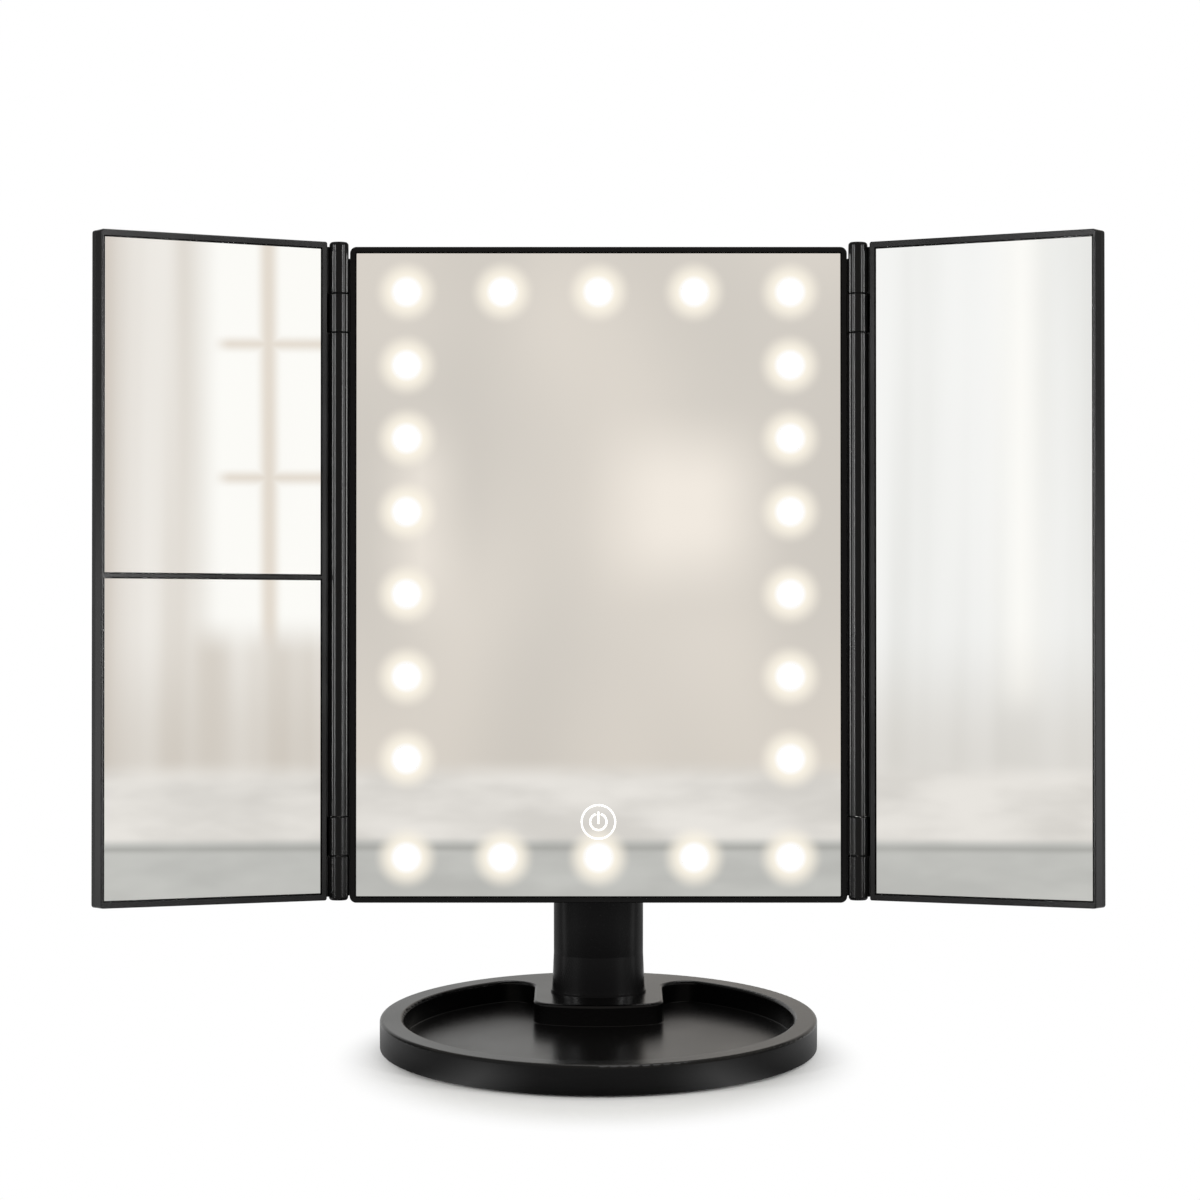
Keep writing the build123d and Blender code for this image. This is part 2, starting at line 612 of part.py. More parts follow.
with BuildPart() as front_frame:
    with BuildSketch(depth_plane(0)):
        with Locations((0, PANEL_MID)):
            RectangleRounded(PANEL_W, PANEL_H, PANEL_CORNER_R)
    extrude(amount=-FRAME_T)
    chamfer(front_frame.faces().sort_by(Axis.Y)[-1].edges(), SEAM)
    fillet(front_frame.faces().sort_by(Axis.Y)[0].edges(), SEAM)
    with BuildSketch(depth_plane(0)):
        with Locations((0, PANEL_MID)):
            RectangleRounded(GLASS_W, GLASS_H, GLASS_CORNER_R)
    extrude(amount=-SEAT_DEPTH, mode=Mode.SUBTRACT)
    with BuildSketch(depth_plane(CARRIER_BACK)):
        with Locations((0, PANEL_MID)):
            RectangleRounded(PANEL_W - 2 * CASE_WALL, PANEL_H - 2 * CASE_WALL, PANEL_CORNER_R / 2)
    extrude(amount=-(FRAME_T - CARRIER_BACK), mode=Mode.SUBTRACT)
    # light apertures, touch sensor hole and the window that the battery bay reaches through
    with BuildSketch(depth_plane(SEAT_DEPTH)):
        with Locations(*LEDS):
            Circle(LED_APERTURE_R)
        with Locations((0, ICON_Z)):
            Circle(SENSOR_R + FIT)
        with Locations((0, BAY_Z)):
            Rectangle(BAY_W + 2 * (BAY_WALL + LOOSE), BAY_H + 2 * (BAY_WALL + LOOSE))
    extrude(amount=-CARRIER_T, mode=Mode.SUBTRACT)
    # bosses that take the case screws
    with BuildSketch(depth_plane(CARRIER_BACK)):
        with Locations(*CASE_SCREWS):
            Circle(FRAME_BOSS_R)
    extrude(amount=-(FRAME_T - CARRIER_BACK))
    with BuildSketch(depth_plane(SEAT_DEPTH + CARRIER_T / 2)):
        with Locations(*CASE_SCREWS):
            Circle(SCREW_R + SNUG)
    extrude(amount=-(FRAME_T - SEAT_DEPTH), mode=Mode.SUBTRACT)
    # two hinge knuckles on each side, each on a web
    for side in (-1, 1):
        for z in KNUCKLE_Z:
            add(barrel(side, z - KNUCKLE_H / 2, z + KNUCKLE_H / 2, GROOVE_H, GROOVE_H))
            with BuildSketch(Plane.XY.offset(z - KNUCKLE_H / 2)):
                with Locations((side * (HINGE_X - HINGE_OUT / 2 - SEAM), HINGE_Y + BARREL_R - WEB_T / 2)):
                    Rectangle(HINGE_OUT + 2 * SEAM, WEB_T)
            extrude(amount=KNUCKLE_H)
            with BuildSketch(Plane.XY.offset(z - KNUCKLE_H / 2)):
                with Locations((side * HINGE_X, HINGE_Y)):
                    Circle(PIN_R + RUN)
            extrude(amount=KNUCKLE_H, mode=Mode.SUBTRACT)
        # strip behind the barrels
        with BuildSketch(depth_plane(GUARD_DEPTH)):
            with Locations((side * (PANEL_W / 2 + GUARD_W / 2 - SEAM), GUARD_MID)):
                Rectangle(GUARD_W + 2 * SEAM, PANEL_H - GUARD_END - GUARD_END_LOW)
        extrude(amount=-(FRAME_T - SEAM - GUARD_DEPTH))
save(front_frame, "front_frame", PIVOT)

with BuildPart() as centre_mirror:
    with BuildSketch(depth_plane(GLASS_RECESS)):
        with Locations((0, PANEL_MID)):
            RectangleRounded(GLASS_W - 2 * FIT, GLASS_H - 2 * FIT, GLASS_CORNER_R)
    extrude(amount=-GLASS_T)
    chamfer(centre_mirror.faces().sort_by(Axis.Y)[0].edges(), GLASS_BEVEL)
    with BuildSketch(depth_plane(GLASS_RECESS)):
        with Locations(*LEDS):
            Circle(LED_WINDOW_R + RUN)
    extrude(amount=-GLASS_T, mode=Mode.SUBTRACT)
    with BuildSketch(depth_plane(GLASS_RECESS)):
        with Locations((0, ICON_Z)):
            Circle(ICON_R + SNUG)
            Circle(ICON_R - ICON_RING - SNUG, mode=Mode.SUBTRACT)
            Circle(ICON_ARC_R + SNUG)
            Circle(ICON_ARC_R - ICON_ARC_W - SNUG, mode=Mode.SUBTRACT)
        with Locations((0, ICON_Z + ICON_ARC_R)):
            Rectangle(ICON_ARC_GAP - 2 * SNUG, 2 * ICON_ARC_W, mode=Mode.SUBTRACT)
        with Locations((0, ICON_Z + (ICON_BAR_TOP + ICON_BAR_BOTTOM) / 2)):
            Rectangle(ICON_BAR_W + 2 * SNUG, ICON_BAR_TOP - ICON_BAR_BOTTOM + 2 * SNUG)
    extrude(amount=-ICON_T, mode=Mode.SUBTRACT)
save(centre_mirror, "centre_mirror", PIVOT)

with BuildPart() as touch_icon:
    with BuildSketch(depth_plane(GLASS_RECESS)):
        with Locations((0, ICON_Z)):
            Circle(ICON_R)
            Circle(ICON_R - ICON_RING, mode=Mode.SUBTRACT)
            Circle(ICON_ARC_R)
            Circle(ICON_ARC_R - ICON_ARC_W, mode=Mode.SUBTRACT)
        with Locations((0, ICON_Z + ICON_ARC_R)):
            Rectangle(ICON_ARC_GAP, 2 * ICON_ARC_W, mode=Mode.SUBTRACT)
        with Locations((0, ICON_Z + (ICON_BAR_TOP + ICON_BAR_BOTTOM) / 2)):
            Rectangle(ICON_BAR_W, ICON_BAR_TOP - ICON_BAR_BOTTOM)
    extrude(amount=-ICON_T)
save(touch_icon, "touch_icon", PIVOT)

with BuildPart() as mirror_tape:
    with BuildSketch(depth_plane(GLASS_RECESS + GLASS_T)):
        with Locations((0, PANEL_MID)):
            Rectangle(GLASS_W - 4 * FIT, GLASS_H - 4 * FIT)
            Rectangle(GLASS_W - 4 * FIT - 2 * TAPE_W, GLASS_H - 4 * FIT - 2 * TAPE_W, mode=Mode.SUBTRACT)
    extrude(amount=-TAPE_T)
save(mirror_tape, "centre_mirror_tape", PIVOT)

with BuildPart() as led_windows:
    with BuildSketch(depth_plane(GLASS_RECESS)):
        with Locations(*LEDS):
            Circle(LED_WINDOW_R)
    extrude(amount=-(GLASS_T + TAPE_T))
save(led_windows, "led_windows", PIVOT)

with BuildPart() as led_chips:
    with BuildSketch(depth_plane(CARRIER_BACK)):
        with Locations(*LEDS):
            Rectangle(LED_CHIP, LED_CHIP)
    extrude(amount=LED_CHIP_T)
save(led_chips, "led_chips", PIVOT)

STRIP_H = SIDE_LED_Z[0] - SIDE_LED_Z[-1] + 2 * LED_BOARD_END
STRIP_MID = (SIDE_LED_Z[0] + SIDE_LED_Z[-1]) / 2
ROW_BOARD_W = (LED_COLUMNS - 3) * LED_PITCH_X + 2 * LED_BOARD_END
LED_BOARDS = {
    "led_board_left": (-LED_SIDE_X, STRIP_MID, LED_BOARD_W, STRIP_H),
    "led_board_right": (LED_SIDE_X, STRIP_MID, LED_BOARD_W, STRIP_H),
    "led_board_top": (0, SIDE_LED_Z[0], ROW_BOARD_W, LED_BOARD_W),
    "led_board_bottom": (0, SIDE_LED_Z[-1], ROW_BOARD_W, LED_BOARD_W),
}
for board_name, (x, z, width, height) in LED_BOARDS.items():
    with BuildPart() as led_board:
        with BuildSketch(depth_plane(CARRIER_BACK)):
            with Locations((x, z)):
                Rectangle(width, height)
        extrude(amount=-LED_BOARD_T)
    save(led_board, board_name, PIVOT)

with BuildPart() as touch_sensor:
    with BuildSketch(depth_plane(GLASS_RECESS + GLASS_T)):
        with Locations((0, ICON_Z)):
            Circle(SENSOR_R)
    extrude(amount=-SENSOR_T)
save(touch_sensor, "touch_sensor", PIVOT)

# ---------------------------------------------------------------- back shell
BOARD_X = PANEL_W / 2 - BOARD_SIDE
BOARD_Z = PANEL_LOW + BOARD_RISE
BOARD_BACK_DEPTH = BACK_WALL_DEPTH - BOARD_STANDOFF
BOARD_BOSSES = [
    (BOARD_X + x, BOARD_Z + z)
    for x, z in ((-BOARD_BOSS_X, BOARD_BOSS_Z), (BOARD_BOSS_X, -BOARD_BOSS_Z))
]
USB_Z = BOARD_Z - USB_DROP
SWITCH_Z = BOARD_Z + SWITCH_RISE
KNOB_SLOT_W = KNOB_W + KNOB_TRAVEL + 2 * LOOSE
DOOR_LOW = BAY_Z - BAY_H / 2 + LOOSE
DOOR_HIGH = BAY_Z + BAY_H / 2 - LOOSE
DOOR_EDGE_R = CASE_WALL / 2
DOOR_AXIS_Z = DOOR_LOW + DOOR_EDGE_R
DOOR_AXIS_Y = BACK_Y - DOOR_EDGE_R
BAY_FLOOR_DEPTH = SEAT_DEPTH - TAPE_T + FIT

with BuildPart() as back_shell:
    with BuildSketch(depth_plane(FRAME_T)):
        with Locations((0, PANEL_MID)):
            RectangleRounded(PANEL_W, PANEL_H, PANEL_CORNER_R)
    extrude(amount=-(PANEL_T - FRAME_T))
    chamfer(back_shell.faces().sort_by(Axis.Y)[0].edges(), SEAM)
    fillet(back_shell.faces().sort_by(Axis.Y)[-1].edges(), BACK_ROUND)
    with BuildSketch(depth_plane(FRAME_T)):
        with Locations((0, PANEL_MID)):
            RectangleRounded(PANEL_W - 2 * CASE_WALL, PANEL_H - 2 * CASE_WALL, PANEL_CORNER_R / 2)
    extrude(amount=-(BACK_WALL_DEPTH - FRAME_T), mode=Mode.SUBTRACT)
    # thick seat and recess for the tilt bracket
    with BuildSketch(depth_plane(BACK_WALL_DEPTH)):
        RectangleRounded(
            BRACKET_W + 2 * CASE_WALL, BRACKET_H + 2 * CASE_WALL, BRACKET_CORNER_R
        )
    extrude(amount=BRACKET_T + BRACKET_PAD_T - CASE_WALL)
    with BuildSketch(depth_plane(PANEL_T)):
        RectangleRounded(BRACKET_W + 2 * FIT, BRACKET_H + 2 * FIT, BRACKET_CORNER_R)
    extrude(amount=BRACKET_T, mode=Mode.SUBTRACT)
    with BuildSketch(depth_plane(PANEL_T - BRACKET_T)):
        with Locations(*BRACKET_SCREWS):
            Circle(SCREW_R + SNUG)
    extrude(amount=BRACKET_PAD_T, mode=Mode.SUBTRACT)
    # battery bay, open at the back
    with BuildSketch(depth_plane(BACK_WALL_DEPTH)):
        with Locations((0, BAY_Z)):
            Rectangle(BAY_W + 2 * BAY_WALL, BAY_H + 2 * BAY_WALL)
    extrude(amount=BACK_WALL_DEPTH - BAY_FLOOR_DEPTH)
    with BuildSketch(depth_plane(PANEL_T)):
        with Locations((0, BAY_Z)):
            Rectangle(BAY_W, BAY_H)
    extrude(amount=PANEL_T - BAY_FLOOR_DEPTH - BAY_FLOOR, mode=Mode.SUBTRACT)
    # sockets for the door's hinge pins
    with BuildSketch(Plane.YZ.offset(-(BAY_W / 2 + DOOR_PIN_L))):
        with Locations((DOOR_AXIS_Y, DOOR_AXIS_Z)):
            Circle(DOOR_PIN_R + RUN)
    extrude(amount=BAY_W + 2 * DOOR_PIN_L, mode=Mode.SUBTRACT)
    # bosses and counterbores of the case screws
    with BuildSketch(depth_plane(BACK_WALL_DEPTH)):
        with Locations(*CASE_SCREWS):
            Circle(BOSS_R)
    extrude(amount=BACK_WALL_DEPTH - FRAME_T)
    with BuildSketch(depth_plane(PANEL_T)):
        with Locations(*CASE_SCREWS):
            Circle(SCREW_R + SCREW_GAP)
    extrude(amount=PANEL_T - FRAME_T, mode=Mode.SUBTRACT)
    with BuildSketch(depth_plane(PANEL_T)):
        with Locations(*CASE_SCREWS):
            Circle(SCREW_HEAD_R + SCREW_GAP)
    extrude(amount=HEAD_SINK, mode=Mode.SUBTRACT)
    # bosses of the control board
    with BuildSketch(depth_plane(BACK_WALL_DEPTH)):
        with Locations(*BOARD_BOSSES):
            Circle(BOARD_BOSS_R)
    extrude(amount=BOARD_STANDOFF)
    with BuildSketch(depth_plane(BOARD_BACK_DEPTH)):
        with Locations(*BOARD_BOSSES):
            Circle(SMALL_SCREW_R + SNUG)
    extrude(amount=-BOARD_STANDOFF, mode=Mode.SUBTRACT)
    # openings for the power socket and the switch knob
    with BuildSketch(depth_plane(PANEL_T)):
        with Locations((BOARD_X, USB_Z)):
            RectangleRounded(USB_W + 2 * FIT, USB_H + 2 * FIT, USB_H / 4)
        with Locations((BOARD_X, SWITCH_Z)):
            Rectangle(KNOB_SLOT_W, KNOB_H + 2 * LOOSE)
    extrude(amount=CASE_WALL, mode=Mode.SUBTRACT)
save(back_shell, "back_shell", PIVOT)

case_screws = pan_screws(
    depth_plane(PANEL_T - HEAD_SINK + SCREW_HEAD_T), CASE_SCREWS,
    SCREW_HEAD_R, SCREW_HEAD_T, SCREW_R, CASE_SCREW_L,
)
save(case_screws, "case_screws", PIVOT)

# ---------------------------------------------------------------- battery bay
CELL_DEPTH = BACK_WALL_DEPTH - FIT - CELL_R
CELL_Y = FRONT_Y + CELL_DEPTH
CELLS = [
    (BAY_Z + (row - (CELL_COUNT - 1) / 2) * CELL_PITCH, 1 if row % 2 else -1)
    for row in range(CELL_COUNT)
]
NUB_X = BAY_W / 2 - CONTACT_T
CELL_FRONT_X = NUB_X - CELL_NUB_L

with BuildPart() as battery_cells:
    for z, way in CELLS:
        with BuildSketch(Plane.YZ.offset(way * CELL_FRONT_X)):
            with Locations((CELL_Y, z)):
                Circle(CELL_R)
        extrude(amount=-way * CELL_L)
        with BuildSketch(Plane.YZ.offset(way * CELL_FRONT_X)):
            with Locations((CELL_Y, z)):
                Circle(CELL_NUB_R)
        extrude(amount=way * CELL_NUB_L)
save(battery_cells, "battery_cells", PIVOT)

with BuildPart() as battery_contacts:
    for z, way in CELLS:
        for end in (-1, 1):
            with BuildSketch(Plane.YZ.offset(end * NUB_X)):
                with Locations((CELL_Y, z)):
                    Rectangle(CONTACT_SIDE, CONTACT_SIDE)
            extrude(amount=end * CONTACT_T)
save(battery_contacts, "battery_contacts", PIVOT)

# Each spring is a conical coil whose turns bear on each other.
with BuildPart() as battery_springs:
    for z, way in CELLS:
        start = Plane(origin=(-way * NUB_X, CELL_Y, z), x_dir=(0, 1, 0), z_dir=(way, 0, 0))
        for turn in range(SPRING_TURNS):
            turn_r = SPRING_R - (SPRING_R - SPRING_TIP_R) * turn / (SPRING_TURNS - 1)
            with BuildSketch(start.offset(turn * SPRING_L / SPRING_TURNS)):
                Circle(turn_r)
                Circle(turn_r - 2 * SPRING_WIRE, mode=Mode.SUBTRACT)
            extrude(amount=SPRING_L / SPRING_TURNS)
save(battery_springs, "battery_springs", PIVOT)

with BuildPart() as battery_door:
    with BuildSketch(Plane.YZ.offset(-(BAY_W / 2 - LOOSE))):
        with Locations((DOOR_AXIS_Y, (DOOR_AXIS_Z + DOOR_HIGH) / 2)):
            Rectangle(CASE_WALL, DOOR_HIGH - DOOR_AXIS_Z)
        with Locations((DOOR_AXIS_Y, DOOR_AXIS_Z)):
            Circle(DOOR_EDGE_R)
    extrude(amount=BAY_W - 2 * LOOSE)
    with BuildSketch(Plane.YZ.offset(-(BAY_W / 2 + DOOR_PIN_L - FIT))):
        with Locations((DOOR_AXIS_Y, DOOR_AXIS_Z)):
            Circle(DOOR_PIN_R)
    extrude(amount=BAY_W + 2 * (DOOR_PIN_L - FIT))
    # finger recess at the upper edge, with ridges left standing in it
    with BuildSketch(depth_plane(PANEL_T)):
        with Locations((0, DOOR_HIGH - DOOR_GRIP_H)):
            RectangleRounded(DOOR_GRIP_W, DOOR_GRIP_H, DOOR_GRIP_H / 4)
            with GridLocations(0, DOOR_GRIP_H / 3, 1, 2):
                Rectangle(DOOR_GRIP_W, KNOB_RIB_W, mode=Mode.SUBTRACT)
    extrude(amount=DOOR_GRIP_T, mode=Mode.SUBTRACT)
save(battery_door, "battery_door", PIVOT)

# ---------------------------------------------------------------- control board
with BuildPart() as control_board:
    with BuildSketch(depth_plane(BOARD_BACK_DEPTH)):
        with Locations((BOARD_X, BOARD_Z)):
            Rectangle(BOARD_W, BOARD_H)
        with Locations(*BOARD_BOSSES):
            Circle(SMALL_SCREW_R + SCREW_GAP, mode=Mode.SUBTRACT)
    extrude(amount=BOARD_T)
save(control_board, "control_board", PIVOT)

BOARD_FRONT_DEPTH = BOARD_BACK_DEPTH - BOARD_T
board_screws = pan_screws(
    Plane(
        origin=(0, FRONT_Y + BOARD_FRONT_DEPTH - SMALL_HEAD_T, 0),
        x_dir=(-1, 0, 0), z_dir=(0, 1, 0),
    ),
    [(-x, z) for x, z in BOARD_BOSSES],
    SMALL_HEAD_R, SMALL_HEAD_T, SMALL_SCREW_R, BOARD_SCREW_L,
)
save(board_screws, "board_screws", PIVOT)

with BuildPart() as board_components:
    with BuildSketch(depth_plane(BOARD_FRONT_DEPTH)):
        with Locations((BOARD_X, BOARD_Z)):
            Rectangle(CHIP_SIDE, CHIP_SIDE)
        with Locations((BOARD_X, BOARD_Z)):
            with GridLocations(0, CHIP_SIDE * 2, 1, 2):
                Rectangle(CHIP_SIDE / 2, CHIP_SIDE / 4)
    extrude(amount=CHIP_T)
    with BuildSketch(depth_plane(BOARD_FRONT_DEPTH)):
        with Locations((BOARD_X - BOARD_W / 2 + PLUG_W / 2, BOARD_Z - PLUG_W)):
            Rectangle(PLUG_W, PLUG_W)
    extrude(amount=PLUG_T)
save(board_components, "board_components", PIVOT)

USB_MOUTH_DEPTH = PANEL_T - USB_SET_BACK
with BuildPart() as usb_socket:
    with BuildSketch(depth_plane(USB_MOUTH_DEPTH)):
        with Locations((BOARD_X, USB_Z)):
            RectangleRounded(USB_W, USB_H, USB_H / 4)
    extrude(amount=USB_MOUTH_DEPTH - BOARD_BACK_DEPTH)
    with BuildSketch(depth_plane(USB_MOUTH_DEPTH)):
        with Locations((BOARD_X, USB_Z)):
            RectangleRounded(USB_W - 2 * USB_WALL, USB_H - 2 * USB_WALL, USB_H / 5)
            Rectangle(USB_W / 2, USB_TONGUE_T, mode=Mode.SUBTRACT)
    extrude(amount=USB_MOUTH_DEPTH - BOARD_BACK_DEPTH - USB_WALL, mode=Mode.SUBTRACT)
save(usb_socket, "usb_socket", PIVOT)

CHANNEL_DEPTH = BACK_WALL_DEPTH - SWITCH_CHANNEL_T
with BuildPart() as power_switch:
    with BuildSketch(depth_plane(BACK_WALL_DEPTH)):
        with Locations((BOARD_X, SWITCH_Z)):
            Rectangle(SWITCH_W, SWITCH_H)
    extrude(amount=BOARD_STANDOFF)
    with BuildSketch(depth_plane(BACK_WALL_DEPTH)):
        with Locations((BOARD_X, SWITCH_Z)):
            Rectangle(KNOB_SLOT_W, KNOB_H + 2 * LOOSE)
    extrude(amount=SWITCH_CHANNEL_T, mode=Mode.SUBTRACT)
save(power_switch, "power_switch", PIVOT)

# The knob lies at the right-hand end of its slot, which is the ON end.
KNOB_X = BOARD_X + KNOB_TRAVEL / 2
KNOB_TOP_DEPTH = PANEL_T - KNOB_SET_BACK
with BuildPart() as switch_knob:
    with BuildSketch(depth_plane(CHANNEL_DEPTH + RUN)):
        with Locations((KNOB_X, SWITCH_Z)):
            Rectangle(KNOB_W, KNOB_H)
    extrude(amount=-(KNOB_TOP_DEPTH - CHANNEL_DEPTH - RUN))
    with BuildSketch(depth_plane(KNOB_TOP_DEPTH)):
        with Locations((KNOB_X, SWITCH_Z)):
            with GridLocations(KNOB_W / KNOB_RIBS, 0, KNOB_RIBS, 1):
                Rectangle(KNOB_RIB_W, KNOB_H)
    extrude(amount=KNOB_RIB_T, mode=Mode.SUBTRACT)
save(switch_knob, "switch_knob", PIVOT)

# ---------------------------------------------------------------- wires inside the panel
def wire(points):
    """One insulated wire along straight runs joined by arcs; points are (x, depth, z)."""
    corners = [(x, FRONT_Y + depth, z) for x, depth, z in points]
    with BuildPart() as lead:
        with BuildLine() as route:
            if len(corners) > 2:
                FilletPolyline(*corners, radius=WIRE_BEND)
            else:
                Line(*corners)
        with BuildSketch(Plane(origin=route.line @ 0, z_dir=route.line % 0)):
            Circle(WIRE_R)
        sweep()
    return lead.part


BOARD_MID_DEPTH = BOARD_BACK_DEPTH - BOARD_T / 2
BOARD_TOP_Z = BOARD_Z + BOARD_H / 2
BAY_SIDE_X = BAY_W / 2 + BAY_WALL
JUMPER_DEPTH = CARRIER_BACK + LED_BOARD_T + WIRE_R
ROW_WIRE_X = min(ROW_BOARD_W / 2 - WIRE_GAP, BOARD_X - BOARD_W / 2 - WIRE_BEND - FIT)
with BuildPart() as lead_wires:
    # battery bay to the control board
    for shift in (-WIRE_GAP, WIRE_GAP):
        add(wire([
            (BAY_SIDE_X, BOARD_MID_DEPTH, BAY_Z + shift),
            (BOARD_X + shift, BOARD_MID_DEPTH, BAY_Z + shift),
            (BOARD_X + shift, BOARD_MID_DEPTH, BOARD_TOP_Z),
        ]))
    # touch sensor to the control board
    add(wire([
        (WIRE_GAP, SENSOR_T + GLASS_RECESS + GLASS_T, ICON_Z),
        (WIRE_GAP, BOARD_FRONT_DEPTH - PLUG_T, ICON_Z),
        (BOARD_X - BOARD_W / 2 + PLUG_W / 2 - 2 * WIRE_BEND, BOARD_FRONT_DEPTH - PLUG_T, ICON_Z),
    ]))
    # control board to the lower LED board
    add(wire([
        (BOARD_X - BOARD_W / 2, BOARD_MID_DEPTH, SIDE_LED_Z[-1]),
        (ROW_WIRE_X, BOARD_MID_DEPTH, SIDE_LED_Z[-1]),
        (ROW_WIRE_X, CARRIER_BACK + LED_BOARD_T, SIDE_LED_Z[-1]),
    ]))
    # jumpers that lie across the ends of neighbouring LED boards
    for side in (-1, 1):
        for z in (SIDE_LED_Z[0], SIDE_LED_Z[-1]):
            for shift in (-WIRE_GAP, WIRE_GAP):
                add(wire([
                    (side * LED_SIDE_X, JUMPER_DEPTH, z + shift),
                    (side * (ROW_BOARD_W / 2 - LED_BOARD_END / 2), JUMPER_DEPTH, z + shift),
                ]))
save(lead_wires, "lead_wires", PIVOT)

# ================================================================ wings
WING_MID = WING_LOW + WING_H / 2
WING_GLASS_W = WING_W - WING_BEZEL - WING_OUTER_BEZEL
WING_MID_X = HINGE_X + WING_OUT + WING_W / 2
WING_GLASS_X = HINGE_X + WING_OUT + WING_BEZEL + WING_GLASS_W / 2
WING_GLASS_H = WING_H - 2 * WING_BEZEL
DIVIDER_Z = WING_MID - DIVIDER_DROP
UPPER_GLASS_H = WING_MID + WING_GLASS_H / 2 - DIVIDER_Z - DIVIDER_W / 2
LOWER_GLASS_H = WING_GLASS_H - UPPER_GLASS_H - DIVIDER_W
UPPER_GLASS_Z = DIVIDER_Z + DIVIDER_W / 2 + UPPER_GLASS_H / 2
LOWER_GLASS_Z = DIVIDER_Z - DIVIDER_W / 2 - LOWER_GLASS_H / 2
# each mirror: name, middle, height
WING_MIRRORS = {
    "left": [
        ("left_mirror_upper", UPPER_GLASS_Z, UPPER_GLASS_H),
        ("left_mirror_lower", LOWER_GLASS_Z, LOWER_GLASS_H),
    ],
    "right": [("right_mirror", WING_MID, WING_GLASS_H)],
}
# barrels of a wing: lower end, upper end
WING_BARRELS = [
    (WING_LOW, KNUCKLE_Z[0] - KNUCKLE_H / 2 - BARREL_SEAM),
    (KNUCKLE_Z[0] + KNUCKLE_H / 2 + BARREL_SEAM, KNUCKLE_Z[1] - KNUCKLE_H / 2 - BARREL_SEAM),
    (KNUCKLE_Z[1] + KNUCKLE_H / 2 + BARREL_SEAM, WING_LOW + WING_H),
]
PIN_L = KNUCKLE_H + 2 * (BARREL_SEAM + PIN_GRIP)


def wing_frame(side, mirrors):
    """Front frame of a wing with its three hinge barrels."""
    with BuildPart() as frame:
        with BuildSketch(depth_plane(0)):
            with Locations((side * WING_MID_X, WING_MID)):
                RectangleRounded(WING_W, WING_H, WING_CORNER_R)
        extrude(amount=-WING_FRAME_T)
        chamfer(frame.faces().sort_by(Axis.Y)[0].edges(), SEAM)
        for name, z, height in mirrors:
            with BuildSketch(depth_plane(0)):
                with Locations((side * WING_GLASS_X, z)):
                    Rectangle(WING_GLASS_W, height)
            extrude(amount=-SEAT_DEPTH, mode=Mode.SUBTRACT)
        for low, high in WING_BARRELS:
            groove_low = 0 if low == WING_LOW else GROOVE_H
            groove_high = 0 if high == WING_LOW + WING_H else GROOVE_H
            add(barrel(side, low, high, groove_low, groove_high))
            web_low = low + (WEB_INSET_LOW if low == WING_LOW else 0)
            web_high = high - (WEB_INSET if high == WING_LOW + WING_H else 0)
            with BuildSketch(Plane.XY.offset(web_low)):
                with Locations((side * (HINGE_X + WING_OUT / 2 + SEAM), HINGE_Y + BARREL_R - WEB_T / 2)):
                    Rectangle(WING_OUT + 2 * SEAM, WEB_T)
            extrude(amount=web_high - web_low)
        # strips behind the panel's knuckles
        for z in KNUCKLE_Z:
            with BuildSketch(depth_plane(GUARD_DEPTH)):
                with Locations((side * (HINGE_X + (GUARD_REACH + WING_OUT + SEAM) / 2), z)):
                    Rectangle(WING_OUT + SEAM - GUARD_REACH, KNUCKLE_H + 2 * (BARREL_SEAM + GUARD_LAP))
            extrude(amount=-(WING_FRAME_T - GUARD_DEPTH))
        ends = frame.edges().filter_by(GeomType.CIRCLE).filter_by(
            lambda edge: abs(edge.radius - BARREL_R) < SNUG
        )
        fillet(ends.group_by(Axis.Z)[0] + ends.group_by(Axis.Z)[-1], BARREL_ROUND)
        for z in KNUCKLE_Z:
            with BuildSketch(Plane.XY.offset(z - PIN_L / 2)):
                with Locations((side * HINGE_X, HINGE_Y)):
                    Circle(PIN_R + SNUG)
            extrude(amount=PIN_L, mode=Mode.SUBTRACT)
    return frame


def wing_back(side):
    """Rear cover of a wing, with rounded outer edges."""
    with BuildPart() as cover:
        with BuildSketch(depth_plane(WING_FRAME_T)):
            with Locations((side * WING_MID_X, WING_MID)):
                RectangleRounded(WING_W, WING_H, WING_CORNER_R)
        extrude(amount=-(WING_T - WING_FRAME_T))
        fillet(cover.faces().sort_by(Axis.Y)[-1].edges(), WING_BACK_ROUND)
        with BuildSketch(depth_plane(WING_FRAME_T)):
            with Locations((side * WING_MID_X, WING_MID)):
                Rectangle(WING_W - 2 * WING_BACK_ROUND, WING_H - 2 * WING_BACK_ROUND)
        extrude(amount=-(WING_T - WING_FRAME_T - WING_BACK_WALL), mode=Mode.SUBTRACT)
    return cover


def wing_mirror(side, z, height):
    """A flat mirror plate with bevelled front edges."""
    with BuildPart() as mirror:
        with BuildSketch(depth_plane(GLASS_RECESS)):
            with Locations((side * WING_GLASS_X, z)):
                Rectangle(WING_GLASS_W - 2 * FIT, height - 2 * FIT)
        extrude(amount=-GLASS_T)
        chamfer(mirror.faces().sort_by(Axis.Y)[0].edges(), GLASS_BEVEL)
    return mirror


def wing_tape(side, mirrors):
    """Foam tape rings that hold the mirrors in their frame."""
    with BuildPart() as tape:
        for name, z, height in mirrors:
            outer_w = WING_GLASS_W - 4 * FIT
            outer_h = height - 4 * FIT
            with BuildSketch(depth_plane(GLASS_RECESS + GLASS_T)):
                with Locations((side * WING_GLASS_X, z)):
                    Rectangle(outer_w, outer_h)
                    Rectangle(outer_w - 2 * TAPE_W, outer_h - 2 * TAPE_W, mode=Mode.SUBTRACT)
            extrude(amount=-TAPE_T)
    return tape


